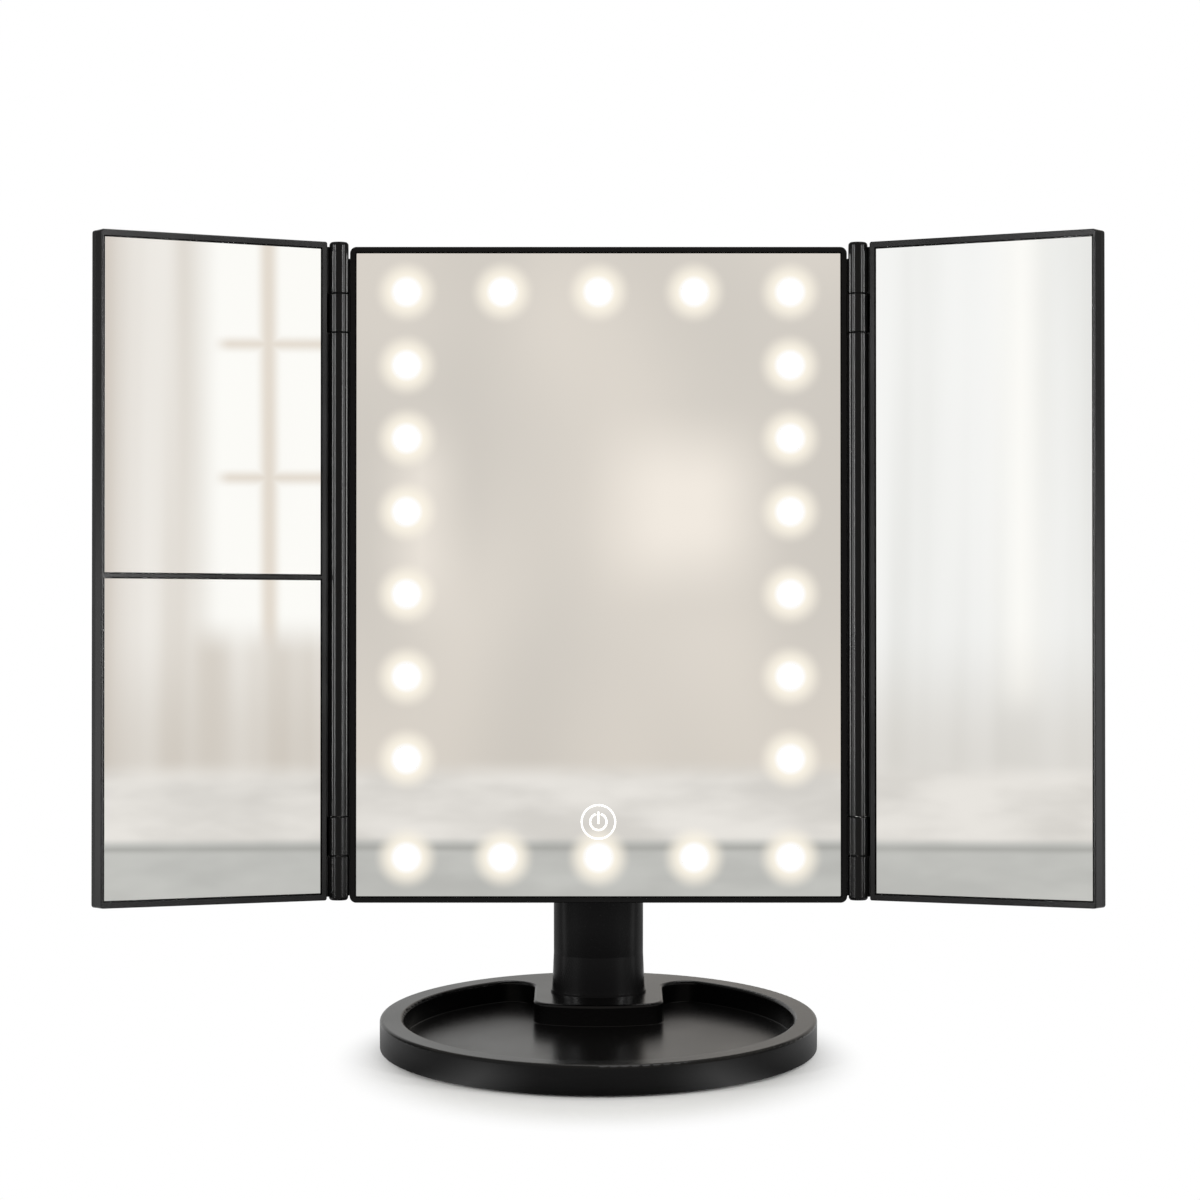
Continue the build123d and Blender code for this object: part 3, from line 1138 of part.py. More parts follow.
def hinge_pins(side):
    """The two pins of one wing, each through a panel knuckle into the barrels beside it."""
    with BuildPart() as pins:
        for z in KNUCKLE_Z:
            with BuildSketch(Plane.XY.offset(z - PIN_L / 2)):
                with Locations((side * HINGE_X, HINGE_Y)):
                    Circle(PIN_R)
            extrude(amount=PIN_L)
    return pins


for wing_name, side in (("left", -1), ("right", 1)):
    hinge = Location((side * HINGE_X, HINGE_Y, 0))
    opened = PIVOT * hinge * Location((0, 0, 0), (0, 0, -side * WING_OPEN)) * hinge.inverse()
    mirrors = WING_MIRRORS[wing_name]
    save(wing_frame(side, mirrors), f"{wing_name}_wing_frame", opened)
    save(wing_back(side), f"{wing_name}_wing_back", opened)
    for name, z, height in mirrors:
        save(wing_mirror(side, z, height), name, opened)
    save(wing_tape(side, mirrors), f"{wing_name}_mirror_tape", opened)
    save(hinge_pins(side), f"{wing_name}_hinge_pins", opened)
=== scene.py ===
"""Looks of the trifold vanity mirror: finishes of every CAD piece, a pale studio and the camera.

Metres and radians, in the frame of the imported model: Z up, the mirrors look towards -Y.
"""

import json
from math import cos, radians, sin

import bpy
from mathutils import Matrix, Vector

WHITE = (1.0, 1.0, 1.0, 1.0)
BLACK = (0.0, 0.0, 0.0, 1.0)

# ---------------------------------------------------------------- camera
PHOTO_SIDE = 1200                    # the photograph's frame in pixels
FOCAL_PIXELS = 3943.9
CENTRE_PIXEL = (598.44, 600.63)      # where the optical axis meets the photograph
SENSOR = 36.0                        # millimetres
CAMERA_DISTANCE = 1.401
CAMERA_HEIGHT = 0.3184
CAMERA_PITCH = radians(6.35)

# ---------------------------------------------------------------- floor
FLOOR_SIDE = 8.0
PAPER_SCALE = 300.0
PAPER_ROUGH = (0.9, 1.0)
PAINTED_SHADOW_COLOUR = (0.555, 0.555, 0.545, 1.0)     # the matt floor close to the base, painted grey as a painted shadow on top of the real shadow it takes
# The grey matt floor, a painted shadow, fades into the white background between these radii.
# They are measured on a floor that is shifted and stretched, so that the fade reaches furthest
# towards the camera.
SHADOW_FADE = (0.074, 0.110)
SHADOW_SHIFT = (0.0, 0.020, 0.0)
SHADOW_STRETCH = (1.14, 1.0, 1.0)

# ---------------------------------------------------------------- floor seen in the gloss, glowing with painted highlights and painted shade
GLOSS_FLOOR = 0.60                   # its glow in front of the object and beside it, dimmed as painted shade
GLOSS_BEHIND = (100.0, 130.0)        # degrees from straight ahead between which it turns white
GLOSS_AWAY = (0.32, 0.90)            # radii between which it turns white
GLOSS_CONTACT = (0.080, 0.105)       # radii between which the contact shadow fades out
CONTACT_LEVEL = 0.5                  # share of the floor's level in the contact shadow
# painted highlights and painted shade, as brighter and darker fields: azimuth, half width, soft
# edge, from radius, to radius, level
PAINTED_GLOSS_FIELDS = [
    (38.0, 5.0, 17.0, 0.0, 0.117, 3.7),
    (0.0, 4.0, 20.0, 0.0, 0.117, -0.27),
    (93.0, 2.0, 7.0, 0.13, 0.30, 4.0),
    (155.0, 25.0, 20.0, 0.16, 0.30, -0.65),
]
GLOSS_EDGE = 0.012                   # soft edge of the fields' radii

# ---------------------------------------------------------------- light
WORLD_LEVEL = 0.50                   # light of the room on matt surfaces
WORLD_COLOUR = (1.0, 0.99, 0.98, 1.0)
TOP_LAMP = dict(place=(0.22, 0.30, 1.5), aim=(0.0, 0.0, 0.1), size=(0.9, 0.7), power=8.0)
# upright lamps on both sides: azimuth, distance, height, width and height of the lamp, power
SIDE_LAMPS = [
    (radians(68.0), 1.2, 0.36, (0.20, 0.50), 8.0),
    (radians(46.5), 1.7, 0.43, (0.11, 0.56), 16.0),
]
# broad flat pieces that would mirror a side lamp as a white patch when they lie level
OFF_SIDE_LAMPS = ("back_shell", "left_wing_back", "right_wing_back", "base_tray")

# ---------------------------------------------------------------- room seen in the mirrors
# Places are in degrees: across is the azimuth from straight ahead of the mirrors to the looker's
# right, and up is the elevation. A band is its middle, half width and soft edge. A patch is its
# middle and half size, each across and up, and its soft edge. Waves are those in a degree across
# and up, and the noise's detail.
ASIDE = (15.0, 45.0)                 # azimuths where the centre's view turns into the wings'
WING_LEAN = 0.10                     # degrees that the leaned wings turn their view for each degree
WING_MIDDLE = 56.3                   # azimuth that a wing's middle shows
WAVE_RANGE = (0.32, 0.68)            # part of the noise that is spread over the whole range
ROOM_SIDES = (117.0, 25.0, 12.0)     # band beside the object where the room is dim
DIM = (0.25, 0.25, 0.24, 1.0)
FLOOR_MEETS = (3.2, 1.0)             # elevations between which the centre's view turns into floor
FLOOR_FAR = (0.97, 0.97, 0.96, 1.0)  # that floor's colour

# wall behind the looker, in the centre's view
WALL_DARK = (0.67, 0.63, 0.58, 1.0)
WALL_LIGHT = (0.79, 0.735, 0.67, 1.0)
WALL_WAVES = (0.30, 0.16, 1.0)
GLOW = (0.94, 0.875, 0.80, 1.0)      # daylight on the wall
GLOWS = [((1.25, 9.0), (0.9, 0.9), 0.7), ((-2.6, 8.8), (0.2, 1.2), 0.7)]

# curtains on the looker's right and net curtains on the left, in the wings' views
SWITCH_SIDE = (-10.0, 10.0)          # azimuths between which one turns into the other
FOLD_WAVES = (1.3, 0.04, 1.5)
DRAPE_DARK = (0.72, 0.67, 0.61, 1.0)
DRAPE_LIGHT = (0.93, 0.90, 0.86, 1.0)
DEEP_FOLD = (54.6, 0.1, 0.8)         # band of shade in the curtain
FOLD_SHADE = (0.62, 0.555, 0.495, 1.0)
NET_DARK = (0.82, 0.82, 0.80, 1.0)
NET_LIGHT = (0.97, 0.97, 0.96, 1.0)
NET_GAP = ((-55.7, 7.0), (0.25, 4.0), 0.35)    # patch of daylight between two nets

# window on the looker's right
PANE = (1.04, 1.03, 1.0, 1.0)
WINDOW = ((57.3, 8.4), (1.25, 4.4), 0.35)
SASH = (0.82, 0.75, 0.67, 1.0)
SASH_UPRIGHT = (57.05, 0.11, 0.10)
SASH_LEVELS = [(8.19, 0.07, 0.09), (6.27, 0.07, 0.09)]
SASH_STARTS = (56.2, 56.5)           # azimuths between which the sash comes out of the curtain

# table along the wall: pairs hold the value in the centre's view and the one in the wings'
TABLE_EDGE = (4.18, 1.05)            # elevation of its front edge
TABLE_DEPTH = (1.05, 1.05)           # from there up to where it meets the wall
TABLE_WAVES = (0.45, 1.3, 3.0)
TABLE_DARK = (0.70, 0.675, 0.64, 1.0)
TABLE_LIGHT = (0.86, 0.83, 0.79, 1.0)
TABLE_BACK = (-0.25, 0.15)           # the top turns into the wall between these heights
FRONT_DARK = (0.51, 0.51, 0.49, 1.0)
FRONT_LIGHT = (0.60, 0.60, 0.575, 1.0)
FRONT_TOP = (-0.07, 0.05)            # the front turns into the top between these heights
FRONT_LINE = (-0.12, 0.03, 0.06)     # band of shade under the top
SHADE_LINE = (0.40, 0.40, 0.38, 1.0)
SHADE = (0.58, 0.53, 0.47, 1.0)      # the things on the table, as one soft shade above it
SHADE_FADE = (2.2, 0.1)              # degrees above the top where it starts and where it is full
SHADE_SHARE = (0.18, 0.45)           # how strong it gets

# ---------------------------------------------------------------- lights of the mirror
LED_GAP = 0.012                      # more than a window's width, less than the gap between two
LED_HALO = (0.0048, 0.0125)          # from the middle, the glow in the glass goes from full to none
LED_CORE = (0.0049, 0.0064)          # its colour goes from white to warm
LED_WHITE = (1.0, 0.985, 0.955, 1.0)
LED_WARM = (0.97, 0.91, 0.79, 1.0)
FROST_COLOUR = (0.60, 0.58, 0.54, 1.0)
FROST_EDGE = (0.0034, 0.0050)        # radii between which a window's middle turns into its edge
FROST_LEVEL = (1.0, 0.93)            # its light in the middle and at the edge
FROST_SCALE = 1800.0
FROST_ROUGH = (0.45, 0.6)
ICON_COLOUR = (0.8, 0.79, 0.76, 1.0)
ICON_ROUGH = 0.5
ICON_LIGHT = (1.0, 0.98, 0.90, 1.0)
ICON_LEVEL = (0.52, 0.66)            # its light where the cloudy glass is densest and clearest
ICON_SCALE = 900.0

# ---------------------------------------------------------------- finishes
NOISE_RANGE = (0.2, 0.8)             # part of the noise that roughness follows
PLASTIC_DARK = (0.0018, 0.0018, 0.0021, 1.0)
PLASTIC_LIGHT = (0.0042, 0.0040, 0.0038, 1.0)
PLASTIC_FLOW = dict(scale=9.0, stretch=(1.0, 1.0, 0.25))
PLASTIC_PATCHES = dict(scale=38.0, detail=3.0)
PATCH_RANGE = (0.3, 0.7)
PATCH_ROUGH = (-0.015, 0.02)         # what polished and dusty patches add to the roughness
GROOVE_EDGE = (0.0033, 0.0031)       # distances from a hinge's axis between which its grooves begin
GROOVE_ROUGH = 0.9                   # roughness in the grooves, so that they read as dark seams
SILVER_DARK = (0.92, 0.92, 0.91, 1.0)
SILVER_LIGHT = (0.955, 0.96, 0.955, 1.0)
SMUDGES = dict(scale=16.0, detail=4.0, stretch=(1.0, 1.0, 0.6))
SMUDGE_RANGE = (0.5, 0.9)
SMUDGE_ROUGH = (0.010, 0.035)
STEEL_DARK = (0.30, 0.30, 0.295, 1.0)
STEEL_LIGHT = (0.44, 0.435, 0.42, 1.0)
STEEL_MARKS = dict(scale=1500.0, stretch=(1.0, 1.0, 6.0))
STEEL_RELIEF = 0.00001
STEEL_ROUGH = (-0.06, 0.08)          # what the turning marks add to the roughness
MATT_ROUGH = (-0.08, 0.0)            # what the spots add to the roughness
MATT_DETAIL = 3.0

HINGED = "black_satin_hinged"        # the plastic of the frames that carry hinge barrels
# black plastics: roughness, depth and scale of the grain, specular level
PLASTICS = {
    "black_satin": (0.24, 0.000004, 2600.0, 0.17),
    HINGED: (0.19, 0.000003, 2600.0, 0.10),
    "black_gloss": (0.22, 0.000002, 2600.0, 0.11),
    "black_textured": (0.42, 0.00002, 1500.0, 0.17),
}
STEELS = {"zinc_steel": 0.28, "bright_steel": 0.18}      # roughness
# matt finishes: darkest and lightest colour, spots in a metre, depth of the relief, roughness
MATTS = {
    "green_board": ((0.01, 0.09, 0.04, 1.0), (0.02, 0.14, 0.06, 1.0), 700.0, 0.00001, 0.45),
    "white_board": ((0.62, 0.62, 0.60, 1.0), (0.74, 0.74, 0.72, 1.0), 700.0, 0.00001, 0.5),
    "black_foam": ((0.012, 0.012, 0.012, 1.0), (0.05, 0.05, 0.048, 1.0), 1400.0, 0.0002, 0.95),
    "foam_tape": ((0.5, 0.5, 0.48, 1.0), (0.66, 0.66, 0.63, 1.0), 900.0, 0.00005, 0.85),
    "phosphor": ((0.85, 0.62, 0.10, 1.0), (0.92, 0.72, 0.16, 1.0), 2500.0, 0.00001, 0.4),
    "chip_black": ((0.01, 0.01, 0.01, 1.0), (0.03, 0.03, 0.03, 1.0), 1500.0, 0.00002, 0.5),
    "cell_jacket": ((0.02, 0.05, 0.10, 1.0), (0.03, 0.08, 0.15, 1.0), 200.0, 0.00001, 0.35),
    "wire_sleeve": ((0.35, 0.02, 0.02, 1.0), (0.50, 0.04, 0.03, 1.0), 400.0, 0.00001, 0.45),
    "bush_nylon": ((0.68, 0.66, 0.60, 1.0), (0.78, 0.76, 0.70, 1.0), 400.0, 0.00001, 0.4),
}
# the CAD nodes that each finish goes on
NODES_OF = {
    "black_satin": ("base_tray", "tilt_bracket", "tilt_caps", "switch_knob"),
    HINGED: ("front_frame", "left_wing_frame", "right_wing_frame"),
    "black_gloss": ("post",),
    "black_textured": (
        "base_plate", "back_shell", "battery_door", "left_wing_back", "right_wing_back",
    ),
    "silvered_glass": ("left_mirror_upper", "left_mirror_lower", "right_mirror"),
    "silvered_glass_lit": ("centre_mirror",),
    "frosted_window": ("led_windows",),
    "lit_icon": ("touch_icon",),
    "zinc_steel": (
        "power_switch", "tilt_bolt", "tilt_nut",
        "base_screws", "post_screws", "case_screws", "bracket_screws", "board_screws",
    ),
    "bright_steel": (
        "battery_contacts", "battery_springs", "usb_socket", "tilt_spring_washers",
        "left_hinge_pins", "right_hinge_pins",
    ),
    "green_board": ("touch_sensor", "control_board"),
    "white_board": ("led_board_left", "led_board_right", "led_board_top", "led_board_bottom"),
    "black_foam": ("foot_pad",),
    "foam_tape": ("centre_mirror_tape", "left_mirror_tape", "right_mirror_tape"),
    "phosphor": ("led_chips",),
    "chip_black": ("board_components",),
    "cell_jacket": ("battery_cells",),
    "wire_sleeve": ("lead_wires",),
    "bush_nylon": ("tilt_bushings",),
}

# places of the Mix node's sockets when it mixes colours
MIX_FACTOR, MIX_FIRST, MIX_SECOND, MIX_RESULT = 0, 6, 7, 2


class Tree:
    """Short forms for building a material's or the world's nodes."""

    def __init__(self, tree):
        self.tree = tree
        tree.nodes.clear()

    def node(self, kind, inputs=None, **settings):
        """Add a node, set its properties, then set or link its inputs by name or number."""
        made = self.tree.nodes.new(kind)
        for name, value in settings.items():
            setattr(made, name, value)
        for name, value in (inputs or {}).items():
            self.feed(made.inputs[name], value)
        return made

    def feed(self, socket, value):
        """Link a socket to another node's output, or give it a plain value."""
        if isinstance(value, bpy.types.NodeSocket):
            self.tree.links.new(value, socket)
        else:
            socket.default_value = value

    def math(self, operation, *values):
        """Result of a Math node."""
        made = self.node("ShaderNodeMath", operation=operation)
        for socket, value in zip(made.inputs, values):
            self.feed(socket, value)
        return made.outputs[0]

    def vector_math(self, operation, *values):
        """Outputs of a Vector Math node: Vector, or Value for a length or distance."""
        made = self.node("ShaderNodeVectorMath", operation=operation)
        for socket, value in zip(made.inputs, values):
            self.feed(socket, value)
        return made.outputs

    def step(self, value, start, end, low=0.0, high=1.0):
        """Smooth step from low at start to high at end."""
        made = self.node(
            "ShaderNodeMapRange",
            {"Value": value, "From Min": start, "From Max": end, "To Min": low, "To Max": high},
            interpolation_type="SMOOTHSTEP",
        )
        return made.outputs["Result"]

    def between(self, share, ends):
        """Smooth step from the first end where the share is 0 to the second where it is 1."""
        return self.step(share, 0.0, 1.0, *ends)

    def band(self, value, middle, half, soft):
        """1 inside the band round the middle, with soft edges, and 0 outside."""
        away = self.math("ABSOLUTE", self.math("SUBTRACT", value, middle))
        return self.step(away, half + soft, half - soft)

    def mix(self, factor, first, second):
        """Mix of two colours."""
        made = self.node("ShaderNodeMix", data_type="RGBA")
        self.feed(made.inputs[MIX_FACTOR], factor)
        self.feed(made.inputs[MIX_FIRST], first)
        self.feed(made.inputs[MIX_SECOND], second)
        return made.outputs[MIX_RESULT]

    def mix_shaders(self, factor, first, second):
        """Mix of two shaders."""
        return self.node("ShaderNodeMixShader", {0: factor, 1: first, 2: second}).outputs[0]

    def place(self):
        """Place on the piece, in metres, which stays with the piece when it moves."""
        return self.node("ShaderNodeTexCoord").outputs["Object"]

    def parts(self, vector):
        """X, Y and Z of a vector."""
        return self.node("ShaderNodeSeparateXYZ", {"Vector": vector}).outputs

    def joined(self, x, y, z=0.0):
        """Vector of these parts."""
        return self.node("ShaderNodeCombineXYZ", {"X": x, "Y": y, "Z": z}).outputs[0]

    def azimuth(self, parts):
        """Degrees from straight ahead of the mirrors to the looker's right."""
        forward = self.math("MULTIPLY", parts["Y"], -1.0)
        return self.math("DEGREES", self.math("ARCTAN2", parts["X"], forward))

    def noise(self, scale, detail=2.0, stretch=(1.0, 1.0, 1.0)):
        """Noise between 0 and 1 with this many waves in a metre."""
        mapping = self.node("ShaderNodeMapping", {"Vector": self.place(), "Scale": stretch})
        made = self.node(
            "ShaderNodeTexNoise",
            {"Vector": mapping.outputs[0], "Scale": scale, "Detail": detail},
        )
        return made.outputs["Fac"]

    def bump(self, height, depth):
        """Normal of a surface whose relief is this deep in metres."""
        made = self.node("ShaderNodeBump", {"Strength": 1.0, "Distance": depth, "Height": height})
        return made.outputs["Normal"]

    def principled(self, inputs):
        """Principled shader that goes to the material's output."""
        shader = self.node("ShaderNodeBsdfPrincipled", inputs)
        self.node("ShaderNodeOutputMaterial", {"Surface": shader.outputs[0]})


def new_material(name):
    """Empty material and the short forms for its nodes."""
    material = bpy.data.materials.new(name)
    material.use_nodes = True
    return material, Tree(material.node_tree)


# ================================================================ finishes
def mirrored_place(tree):
    """Place on the piece with the left half laid over the right."""
    parts = tree.parts(tree.place())
    return tree.joined(tree.math("ABSOLUTE", parts["X"]), parts["Y"], parts["Z"])


def in_groove(tree, hinge):
    """1 near the hinge's axis, in the grooves between the barrels, and 0 on the barrels."""
    arm = tree.vector_math("SUBTRACT", mirrored_place(tree), hinge["pos_m"])["Vector"]
    across = tree.vector_math("CROSS_PRODUCT", arm, hinge["axis"])["Vector"]
    return tree.step(tree.vector_math("LENGTH", across)["Value"], *GROOVE_EDGE)


def black_plastic(name, roughness, grain_depth, grain_scale, specular, hinge=None):
    """Black moulded plastic: faint flow marks, a fine grain and a few polished or dusty patches.

    With a hinge, the grooves between its barrels are dull.
    """
    material, tree = new_material(name)
    patches = tree.noise(**PLASTIC_PATCHES)
    polished, dusty = (roughness + change for change in PATCH_ROUGH)
    rough = tree.step(patches, *PATCH_RANGE, polished, dusty)
    if hinge:
        groove = tree.math("MULTIPLY", in_groove(tree, hinge), GROOVE_ROUGH)
        rough = tree.math("MAXIMUM", rough, groove)
    tree.principled({
        "Base Color": tree.mix(tree.noise(**PLASTIC_FLOW), PLASTIC_DARK, PLASTIC_LIGHT),
        "Roughness": rough,
        "Specular IOR Level": specular,
        "Normal": tree.bump(tree.noise(grain_scale), grain_depth),
    })
    return material


def nearest_light(tree, centres):
    """Distance from the shaded place to the nearest light's middle, by the panel's symmetry."""
    folded = mirrored_place(tree)
    nearest = None
    for centre in centres:
        if centre.x > -LED_GAP:
            distance = tree.vector_math("DISTANCE", folded, centre)["Value"]
            nearest = tree.math("MINIMUM", nearest, distance) if nearest else distance
    return nearest


def mirror_glass(name, centres=()):
    """Silvered glass with faint smudges; lights behind it spread a warm halo in the glass."""
    material, tree = new_material(name)
    smudge = tree.noise(**SMUDGES)
    silver = tree.mix(smudge, SILVER_DARK, SILVER_LIGHT)
    inputs = {
        "Base Color": silver,
        "Metallic": 1.0,
        "Roughness": tree.step(smudge, *SMUDGE_RANGE, *SMUDGE_ROUGH),
    }
    if centres:
        distance = nearest_light(tree, centres)
        full, gone = LED_HALO
        halo = tree.step(distance, gone, full)
        inputs["Base Color"] = tree.mix(halo, silver, BLACK)
        inputs["Emission Color"] = tree.mix(tree.step(distance, *LED_CORE), LED_WHITE, LED_WARM)
        inputs["Emission Strength"] = halo
    tree.principled(inputs)
    return material


def lit_diffuser(name, centres):
    """Frosted window over a light: white in the middle, a little warmer at its edge."""
    material, tree = new_material(name)
    edge = tree.step(nearest_light(tree, centres), *FROST_EDGE)
    tree.principled({
        "Base Color": FROST_COLOUR,
        "Roughness": tree.step(tree.noise(FROST_SCALE), *NOISE_RANGE, *FROST_ROUGH),
        "Emission Color": tree.mix(edge, WHITE, LED_WHITE),
        "Emission Strength": tree.between(edge, FROST_LEVEL),
    })
    return material


def lit_icon(name):
    """Etched key symbol, lit from behind."""
    material, tree = new_material(name)
    tree.principled({
        "Base Color": ICON_COLOUR,
        "Roughness": ICON_ROUGH,
        "Emission Color": ICON_LIGHT,
        "Emission Strength": tree.between(tree.noise(ICON_SCALE), ICON_LEVEL),
    })
    return material


def steel(name, roughness):
    """Plated steel with fine turning marks."""
    material, tree = new_material(name)
    marks = tree.noise(**STEEL_MARKS)
    smooth, rough = (roughness + change for change in STEEL_ROUGH)
    tree.principled({
        "Base Color": tree.mix(marks, STEEL_DARK, STEEL_LIGHT),
        "Metallic": 1.0,
        "Roughness": tree.step(marks, *NOISE_RANGE, smooth, rough),
        "Normal": tree.bump(marks, STEEL_RELIEF),
    })
    return material


def matt(name, dark, light, scale, depth, roughness):
    """Matt material whose colour and relief vary at one scale: foam, board, sleeve or nylon."""
    material, tree = new_material(name)
    spots = tree.noise(scale, detail=MATT_DETAIL)
    smooth, rough = (roughness + change for change in MATT_ROUGH)
    tree.principled({
        "Base Color": tree.mix(spots, dark, light),
        "Roughness": tree.step(spots, *NOISE_RANGE, smooth, rough),
        "Normal": tree.bump(spots, depth),
    })
    return material


def light_centres(windows):
    """Middle of each light's window, from the vertices that lie close together."""
    groups = []
    for vertex in windows.data.vertices:
        for group in groups:
            if (vertex.co - group[0]).length < LED_GAP:
                group.append(vertex.co)
                break
        else:
            groups.append([vertex.co])
    centres = []
    for group in groups:
        low = Vector(min(point[axis] for point in group) for axis in range(3))
        high = Vector(max(point[axis] for point in group) for axis in range(3))
        centres.append((low + high) / 2)
    return centres


def finish_nodes(nodes, hinge):
    """Give every CAD node its finish."""
    centres = light_centres(nodes["led_windows"])
    finishes = {
        "silvered_glass": mirror_glass("silvered_glass"),
        "silvered_glass_lit": mirror_glass("silvered_glass_lit", centres),
        "frosted_window": lit_diffuser("frosted_window", centres),
        "lit_icon": lit_icon("lit_icon"),
    }
    for name, values in PLASTICS.items():
        finishes[name] = black_plastic(name, *values, hinge=hinge if name == HINGED else None)
    for name, roughness in STEELS.items():
        finishes[name] = steel(name, roughness)
    for name, values in MATTS.items():
        finishes[name] = matt(name, *values)
    for finish, names in NODES_OF.items():
        for name in names:
            materials = nodes[name].data.materials
            materials.clear()
            materials.append(finishes[finish])


# ================================================================ studio
def soft_room(tree):
    """Colour of the bright blurred room that the mirrors and the gloss show, by direction."""
    parts = tree.parts(tree.node("ShaderNodeTexCoord").outputs["Generated"])
    azimuth = tree.azimuth(parts)
    elevation = tree.math("DEGREES", tree.math("ARCSINE", parts["Z"]))
    turned = tree.math("ABSOLUTE", azimuth)
    aside = tree.step(turned, *ASIDE)
    # upright and level lines of the side views stay upright and level in the wings
    lean = tree.math("MULTIPLY", aside, WING_LEAN)
    turn = tree.math("MULTIPLY", lean, elevation)
    outward = tree.math("MULTIPLY", tree.math("SIGN", azimuth), turn)
    across = tree.math("SUBTRACT", azimuth, outward)
    beyond = tree.math("SUBTRACT", tree.math("ABSOLUTE", across), WING_MIDDLE)
    up = tree.math("ADD", elevation, tree.math("MULTIPLY", lean, beyond))

    def waves(per_degree_across, per_degree_up, detail):
        """Noise between 0 and 1 with this many waves in a degree across and up."""
        at = tree.joined(
            tree.math("MULTIPLY", across, per_degree_across),
            tree.math("MULTIPLY", up, per_degree_up),
        )
        noise = tree.node("ShaderNodeTexNoise", {"Vector": at, "Scale": 1.0, "Detail": detail})
        return tree.step(noise.outputs["Fac"], *WAVE_RANGE)

    def patch(middle, half, soft):
        """1 inside the box of directions round the middle, with soft edges, and 0 outside."""
        return tree.math(
            "MULTIPLY",
            tree.band(across, middle[0], half[0], soft),
            tree.band(up, middle[1], half[1], soft),
        )

    wall = tree.mix(waves(*WALL_WAVES), WALL_DARK, WALL_LIGHT)
    for glow in GLOWS:
        wall = tree.mix(patch(*glow), wall, GLOW)
    folds = waves(*FOLD_WAVES)
    drapes = tree.mix(folds, DRAPE_DARK, DRAPE_LIGHT)
    drapes = tree.mix(tree.band(across, *DEEP_FOLD), drapes, FOLD_SHADE)
    nets = tree.mix(folds, NET_DARK, NET_LIGHT)
    nets = tree.mix(patch(*NET_GAP), nets, PANE)
    curtains = tree.mix(tree.step(across, *SWITCH_SIDE), nets, drapes)
    room = tree.mix(aside, wall, curtains)

    sash = tree.band(across, *SASH_UPRIGHT)
    for level in SASH_LEVELS:
        sash = tree.math("MAXIMUM", sash, tree.band(up, *level))
    sash = tree.math("MULTIPLY", sash, tree.step(across, *SASH_STARTS))
    room = tree.mix(patch(*WINDOW), room, tree.mix(sash, PANE, SASH))

    above = tree.math("SUBTRACT", up, tree.between(aside, TABLE_EDGE))
    past = tree.math("SUBTRACT", above, tree.between(aside, TABLE_DEPTH))
    marble = waves(*TABLE_WAVES)
    table = tree.mix(marble, TABLE_DARK, TABLE_LIGHT)
    front = tree.mix(marble, FRONT_DARK, FRONT_LIGHT)
    front = tree.mix(tree.band(above, *FRONT_LINE), front, SHADE_LINE)
    share = tree.between(aside, SHADE_SHARE)
    room = tree.mix(tree.math("MULTIPLY", tree.step(past, *SHADE_FADE), share), room, SHADE)
    room = tree.mix(tree.step(past, *TABLE_BACK), table, room)
    room = tree.mix(tree.step(above, *FRONT_TOP), front, room)

    ahead = tree.math("SUBTRACT", 1.0, aside)
    floor = tree.math("MULTIPLY", tree.step(elevation, *FLOOR_MEETS), ahead)
    room = tree.mix(floor, room, FLOOR_FAR)
    return tree.mix(tree.band(turned, *ROOM_SIDES), room, DIM)


def studio_world():
    """White to the camera, even light on matt things, and the soft room in the gloss."""
    world = bpy.data.worlds.new("studio")
    world.use_nodes = True
    bpy.context.scene.world = world
    tree = Tree(world.node_tree)

    def background(colour, level=1.0):
        """Background of this colour and level."""
        return tree.node("ShaderNodeBackground", {"Color": colour, "Strength": level}).outputs[0]

    rays = tree.node("ShaderNodeLightPath").outputs
    light = background(WORLD_COLOUR, WORLD_LEVEL)
    unseen = tree.mix_shaders(rays["Is Glossy Ray"], light, background(soft_room(tree)))
    whole = tree.mix_shaders(rays["Is Camera Ray"], unseen, background(WHITE))
    tree.node("ShaderNodeOutputWorld", {"Surface": whole})


def painted_floor_glow(tree, away):
    """Glow at which the gloss shows the floor, for the distance from the base's middle: a dimmed
    floor with painted highlights, painted shade and a painted contact shadow.
    """
    azimuth = tree.math("ABSOLUTE", tree.azimuth(tree.parts(tree.place())))
    behind = tree.step(azimuth, *GLOSS_BEHIND)
    white = tree.math("MAXIMUM", behind, tree.step(away, *GLOSS_AWAY))
    level = tree.between(white, (GLOSS_FLOOR, 1.0))
    level = tree.math("MULTIPLY", level, tree.step(away, *GLOSS_CONTACT, CONTACT_LEVEL, 1.0))
    # the fields add painted highlights and painted shade to the glow
    for middle, half, soft, near, far, bright in PAINTED_GLOSS_FIELDS:
        field = tree.math(
            "MULTIPLY",
            tree.band(azimuth, middle, half, soft),
            tree.band(away, (near + far) / 2, (far - near) / 2, GLOSS_EDGE),
        )
        level = tree.math("ADD", level, tree.math("MULTIPLY", field, bright))
    return level


